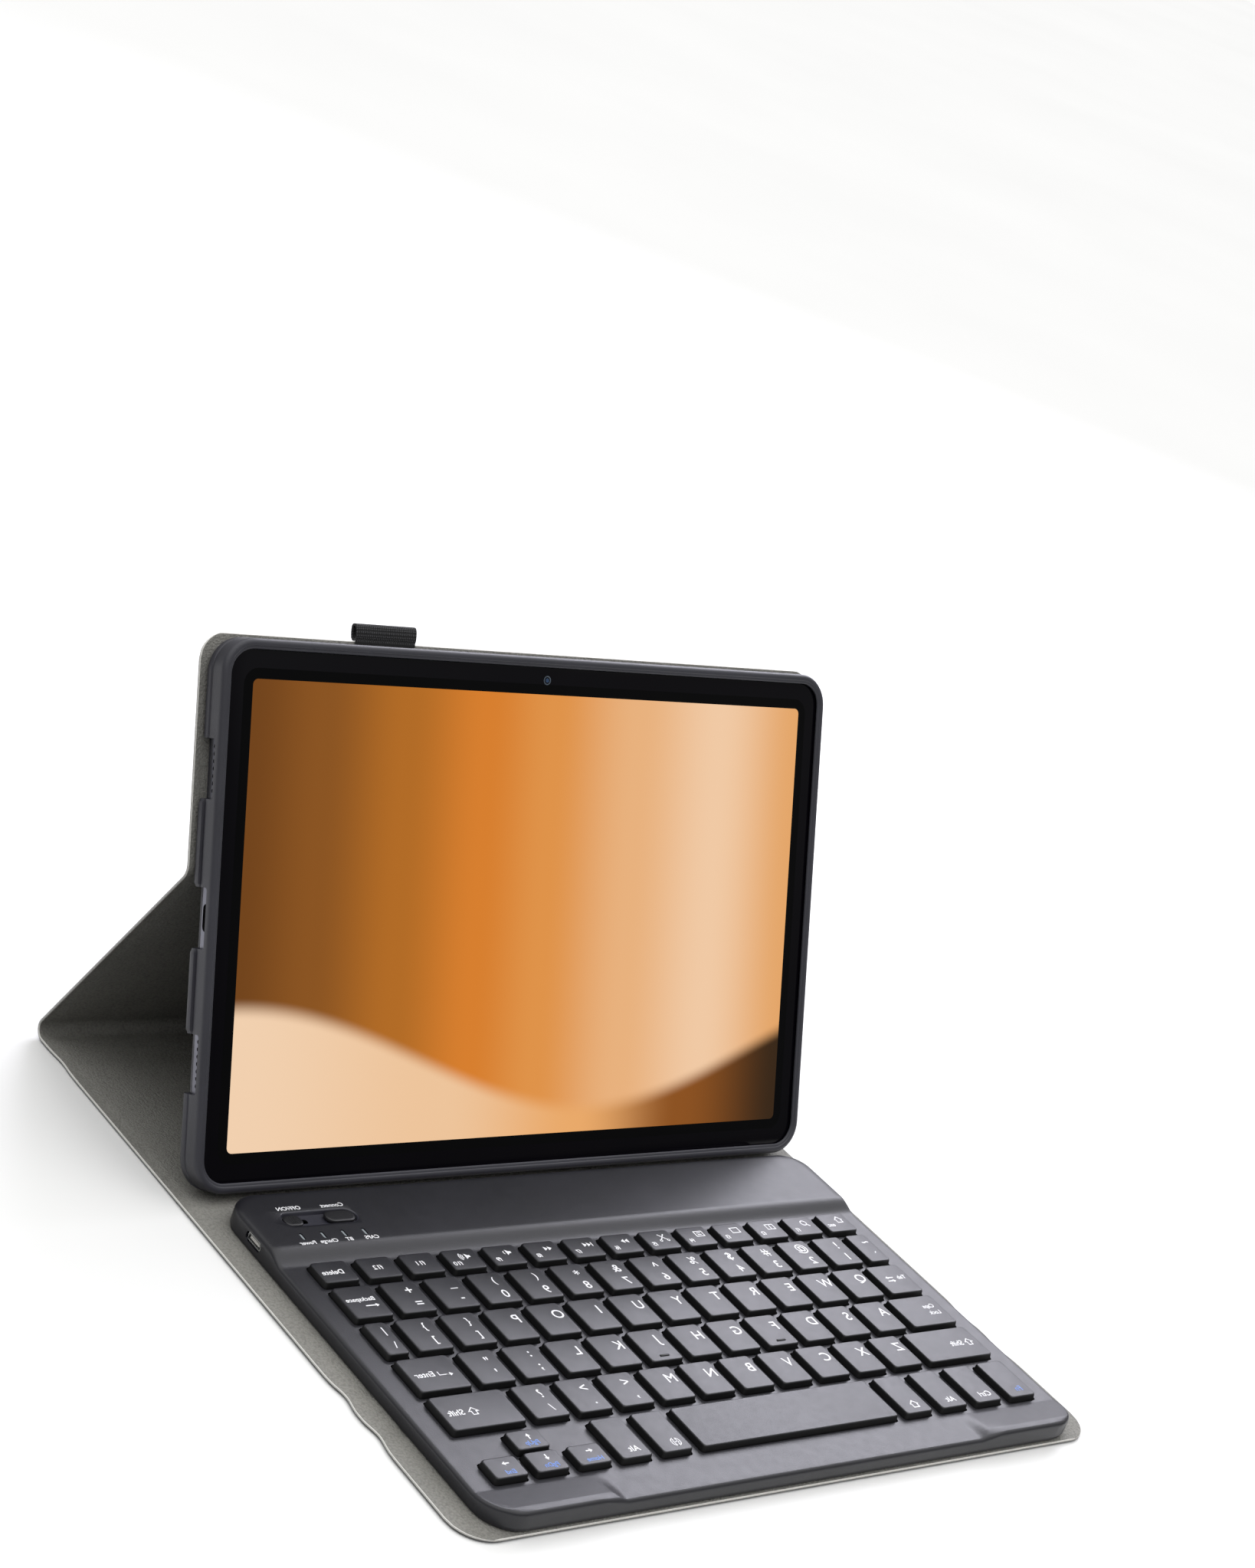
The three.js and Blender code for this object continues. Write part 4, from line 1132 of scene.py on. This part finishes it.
# Solid arrows on keys: place, direction and length.
ARROWS = {
    "backspace": [(9.0, 5.4, 1, 0, 5.0)], "enter": [(14.6, 6.4, 1, 0, 2.4)],
    "tab": [(5.6, 8.5, -1, 0, 3.6), (5.6, 6.7, 1, 0, 3.6)],
    "arrow_left": [(6.8, 5.7, -1, 0, 2.6)], "arrow_right": [(6.8, 5.7, 1, 0, 2.6)],
    "arrow_up": [(6.8, 5.1, 0, 1, 2.6)], "arrow_down": [(6.8, 5.7, 0, -1, 2.6)],
}
ICONS = {
    "escape": ("home", 8.4, 6.3, ICON_ZOOM), "home": ("home", 6.4, 3.9, ICON_ZOOM), "globe": ("globe", 7.2, 3.7),
    "shift_left": ("shift", 11.5, 7.0), "shift_right": ("shift", 24.8, 7.2), "enter": ("return", 13.2, 7.0),
}
# Symbols whose ink does not sit in the middle of the line.
DROPS = {"_": -1.4, "'": 1.2, '"': 0.4, ",": -0.9, ".": -0.9, "`": 0.6}


def print_legend(pen, key):
    name, x, y = key.name, key.x, key.y
    if len(name) == 1:
        pen.word(name.upper(), x + 9.5, y + 9.6, CAP_TYPE)
    elif name in DUALS:
        cx = x + min(9.4, key.width * 0.66)
        for text, lift in zip(DUALS[name], (10.7, 4.2)):
            pen.word(text, cx, y + lift + DROPS.get(text, 0), SYMBOL_TYPE)
    elif name[0] == "f" and name[1:].isdigit():
        if int(name[1:]) in FUNCTION_ICONS:
            pen.word(name, x + 2.7, y + 3.0, 2.7)
            icon(pen, FUNCTION_ICONS[int(name[1:])], x + 8.2, y + 6.1, ICON_ZOOM)
        else:
            pen.word(name, x + 5.8, y + 5.0, 2.9)
    for text, dx, dy, *look in WORDS.get(name, ()):
        pen.word(text, x + dx, y + dy, *look)
    for dx, dy, way_x, way_y, length in ARROWS.get(name, ()):
        arrow(pen, x + dx, y + dy, way_x, way_y, length)
    if name in ICONS:
        kind, dx, dy, *zoom = ICONS[name]
        icon(pen, kind, x + dx, y + dy, *zoom)


# ---------------- keys
CAP_PROFILE = ((0.6, 3.4), (0.57, 3.7), (0.12, 6.5), (0.06, 6.72), (-0.04, 6.9), (-0.18, 6.98), (-0.34, 7.0))
SIDE_BANDS = 3


def cap_parts(key):
    rings = [[on_board(x, y, z) for x, y in key_outline(key, margin)] for margin, z in CAP_PROFILE]
    verts, faces, _ = skin_rings(rings)
    # The sides and the underside are near-black as painted shade, the rounded rim and the face lighter.
    rim, underside = SIDE_BANDS * len(rings[0]), len(faces) - 2
    return verts, faces, [int(i >= rim and i != underside) for i in range(len(faces))]


def key_piece(name, keys, straps=()):
    pen = Print()
    parts = []
    for key in keys:
        parts.append(cap_parts(key))
        print_legend(pen, key)
        if key.name in ("f", "j"):
            levels = ((KEY_TOP - 0.1, 0.0), (KEY_TOP + 0.2, 0.0), (KEY_TOP + 0.3, 0.15))
            parts.append(box_skin(key.x + 4.6, key.x + 8.2, key.y + 1.9, key.y + 2.6, levels))
    parts += [box_skin(*box, ((STRAP_LOW, 0.0), (STRAP_HIGH, 0.0))) for box in straps]
    parts.append(([on_board(x, y, KEY_TOP + INK_LIFT) for x, y in pen.verts], pen.faces, pen.slots))
    return mesh_object(name, merge(*parts), [KEY_DARK_PAINTED_SHADE, KEY_FACE, PRINT_WHITE, PRINT_BLUE], 40.0)


def body_with(node):
    """The CAD body that holds a node."""
    rows = frame["record"]["behaviour"]["bodies"]
    return next(body for body, nodes in rows.items() if node in nodes)


LETTERS = "abcdefghijklmnopqrstuvwxyz"
SINGLES = [*LETTERS, *"space enter shift_left shift_right backspace tab caps delete escape".split()]
for name in SINGLES:
    node = f"key_{name}"
    mount(key_piece(f"cap_{name}", [KEYS[name]]), body_with(node), "key_plastic", node)

BANKS = {
    "keys_function": "f1 f2 f3 f4 f5 f6 f7 f8 f9 f10 f11 f12",
    "keys_number": "grave n1 n2 n3 n4 n5 n6 n7 n8 n9 n0 minus equals",
    "keys_symbols": "backslash bracket_right bracket_left quote semicolon slash period comma",
    "keys_modifiers_left": "alt_left globe",
    "keys_modifiers_right": "home alt_right control fn",
    "keys_arrows": "arrow_left arrow_down arrow_right arrow_up",
}
# Straps that join the rows of a bank.
EXTRA = {"keys_symbols": [("bracket_left", "quote"), ("quote", "slash")], "keys_arrows": [("arrow_down", "arrow_up")]}


def strap_box(first, second):
    a, b = sorted((KEYS[first], KEYS[second]), key=lambda key: key.x)
    if abs(a.y - b.y) < 0.01:
        y = a.y + min(a.depth, b.depth) / 2
        return (a.x + a.width - 1, b.x + 1, y - 1.1, y + 1.1)
    low, high = sorted((a, b), key=lambda key: key.y)
    x = (max(a.x, b.x) + min(a.x + a.width, b.x + b.width)) / 2
    return (x - 1.1, x + 1.1, low.y + low.depth - 1, high.y + 1)


for bank, members in BANKS.items():
    names = members.split()
    pairs = [(a, b) for a, b in zip(names, names[1:]) if abs(KEYS[a].y - KEYS[b].y) < 0.01]
    straps = [strap_box(a, b) for a, b in pairs + EXTRA.get(bank, [])]
    caps = key_piece(bank.replace("keys", "caps"), [KEYS[name] for name in names], straps)
    mount(caps, body_with(bank), "key_plastic", bank)

# ---------------- hump labels and controls
labels = Print()
for text, x, y, size in (("OFF/ON", -105.4, 146.4, 2.5), ("Connect", -89.0, 146.4, 2.5), ("Power", -109.1, 128.4, 2.3),
                         ("Charge", -101.0, 128.3, 2.3), ("BT", -93.2, 128.6, 2.3), ("CAPS", -84.6, 128.6, 2.3)):
    labels.word(text, x, y, size)
label_verts = [on_board(x, y, deck_height(x, y) + INK_LIFT) for x, y in labels.verts]
label_piece = mesh_object("deck_labels", (label_verts, labels.faces), [PRINT_WHITE])
mount(label_piece, "keyboard", "key_plastic")


def knob(name, box, radius, z0, z1, stem, body, node, ridges):
    """A slider or button with a stem below and grip ridges on top."""
    profile = [(0.0, z0), (0.0, z1 - 0.35), (0.12, z1 - 0.12), (0.4, z1), (0.9, z1 + 0.02)]
    parts = [skin_rings(ring_stack(box, radius, profile, 6, on_board)), box_skin(*stem, ((3.0, 0.0), (z0, 0.0)))]
    for x in ridges:
        section = ((-0.25, 0), (0.25, 0), (0.1, 0.22), (-0.1, 0.22))
        parts.append(skin_rings([[on_board(x + dx, y, z1 + dz) for dx, dz in section]
                                 for y in (box[3] - 1.2, box[1] + 1.2)]))
    mount(mesh_object(name, merge(*parts), [SWITCH_PLASTIC], 35.0), body, "switch_plastic", node)


knob("power_switch_knob", (-110.2, 138.0, -103.6, 143.4), 2.2, 6.5, 7.15, (-108.2, -105.6, 140.0, 141.4),
     "power", "power_switch", (-107.7, -106.9, -106.1))
knob("connect_button_cap", (-94.8, 137.8, -83.8, 143.6), 2.8, 6.8, 7.68, (-90.1, -87.9, 139.6, 141.8),
     "connect", "connect_button", ())

# ---------------- CAD nodes that stay
KEPT = {
    "keyboard_bottom": BOTTOM_PLASTIC,
    "key_plate": PLATE_STEEL,
    "battery": foil_material(),
    "circuit_board": board_material(),
    "usb_port": BRIGHT_METAL,
}
for name, material in KEPT.items():
    node = frame["nodes"][name]
    node.data.materials.clear()
    node.data.materials.append(material)
    if name in ("keyboard_bottom", "battery"):
        bevel = node.modifiers.new("soft_edge", "BEVEL")
        bevel.width = 0.0003
        bevel.segments = 2
        bevel.limit_method = "ANGLE"

# ---------------- floor, light and camera
floor_material, floor_tree, floor_wire = new_material("pale_floor", Roughness=0.6)
floor_wire(Base_Color=ramp(noise(coordinates(floor_tree), 3.0),
                           [(0.3, "#fafaf9"), (0.7, "#fdfdfc")]))
FLOOR_HALF = 6000
FLOOR_Z = -0.2
floor = flat_piece("floor", [(-FLOOR_HALF, -FLOOR_HALF), (FLOOR_HALF, -FLOOR_HALF), (FLOOR_HALF, FLOOR_HALF),
                             (-FLOOR_HALF, FLOOR_HALF)], FLOOR_Z, lambda *point: point, floor_material)
# Bounce from the white floor would fill the shadows under the tablet.
floor.visible_diffuse = False

world = bpy.data.worlds.new("studio")
bpy.context.scene.world = world
world.use_nodes = True
sky_tree = world.node_tree
sky_up = add_node(sky_tree, "SeparateXYZ", {"Vector": coordinates(sky_tree, "Generated")}).outputs["Z"]
# Soft light that comes mostly from above, like a wide ceiling of diffusers.
sky_light = ramp(span(sky_up, 0.0, 1.0, -0.2, 1.0),
                 [(0.0, 0.03), (0.15, 0.04), (0.2, 0.11), (0.5, 0.2), (0.72, 0.5), (1.0, 0.9)])
sky_power = vector_node("MULTIPLY", sky_light, (2.0, 2.0, 2.0))
seen = add_node(sky_tree, "LightPath").outputs["Is Camera Ray"]
sky = mix_colour(seen, sky_power, (1.0, 1.0, 1.0, 1.0))
sky_tree.links.new(sky, sky_tree.nodes["Background"].inputs["Color"])


LAMP = Vector((0.9, 0.7, 0.75))
LAMP_AIM = Vector((0.05, -0.02, 0.02))
lamp_data = bpy.data.lights.new("key_light", "AREA")
lamp_data.shape = "RECTANGLE"
lamp_data.size, lamp_data.size_y = 0.9, 0.6
lamp_data.energy = 10.5
lamp_data.color = (0.9, 0.89, 1.0)
lamp = add_object("key_light", lamp_data)
lamp.location = LAMP
lamp.rotation_euler = (LAMP_AIM - LAMP).to_track_quat("-Z", "Y").to_euler()

FOCAL_PX = 4088.33
IMAGE_LONG = 2047
SENSOR = 36.0
camera_data = bpy.data.cameras.new("camera")
camera_data.sensor_width = SENSOR
camera_data.lens = FOCAL_PX * SENSOR / IMAGE_LONG
camera_data.clip_start, camera_data.clip_end = 0.01, 50.0
camera = add_object("camera", camera_data)
camera.location = (-0.67393, -0.62745, 0.49489)
camera.rotation_euler = tuple(radians(a) for a in (68.512, -19.5404, -37.4846))
bpy.context.scene.camera = camera
bpy.context.scene.view_settings.view_transform = "Standard"
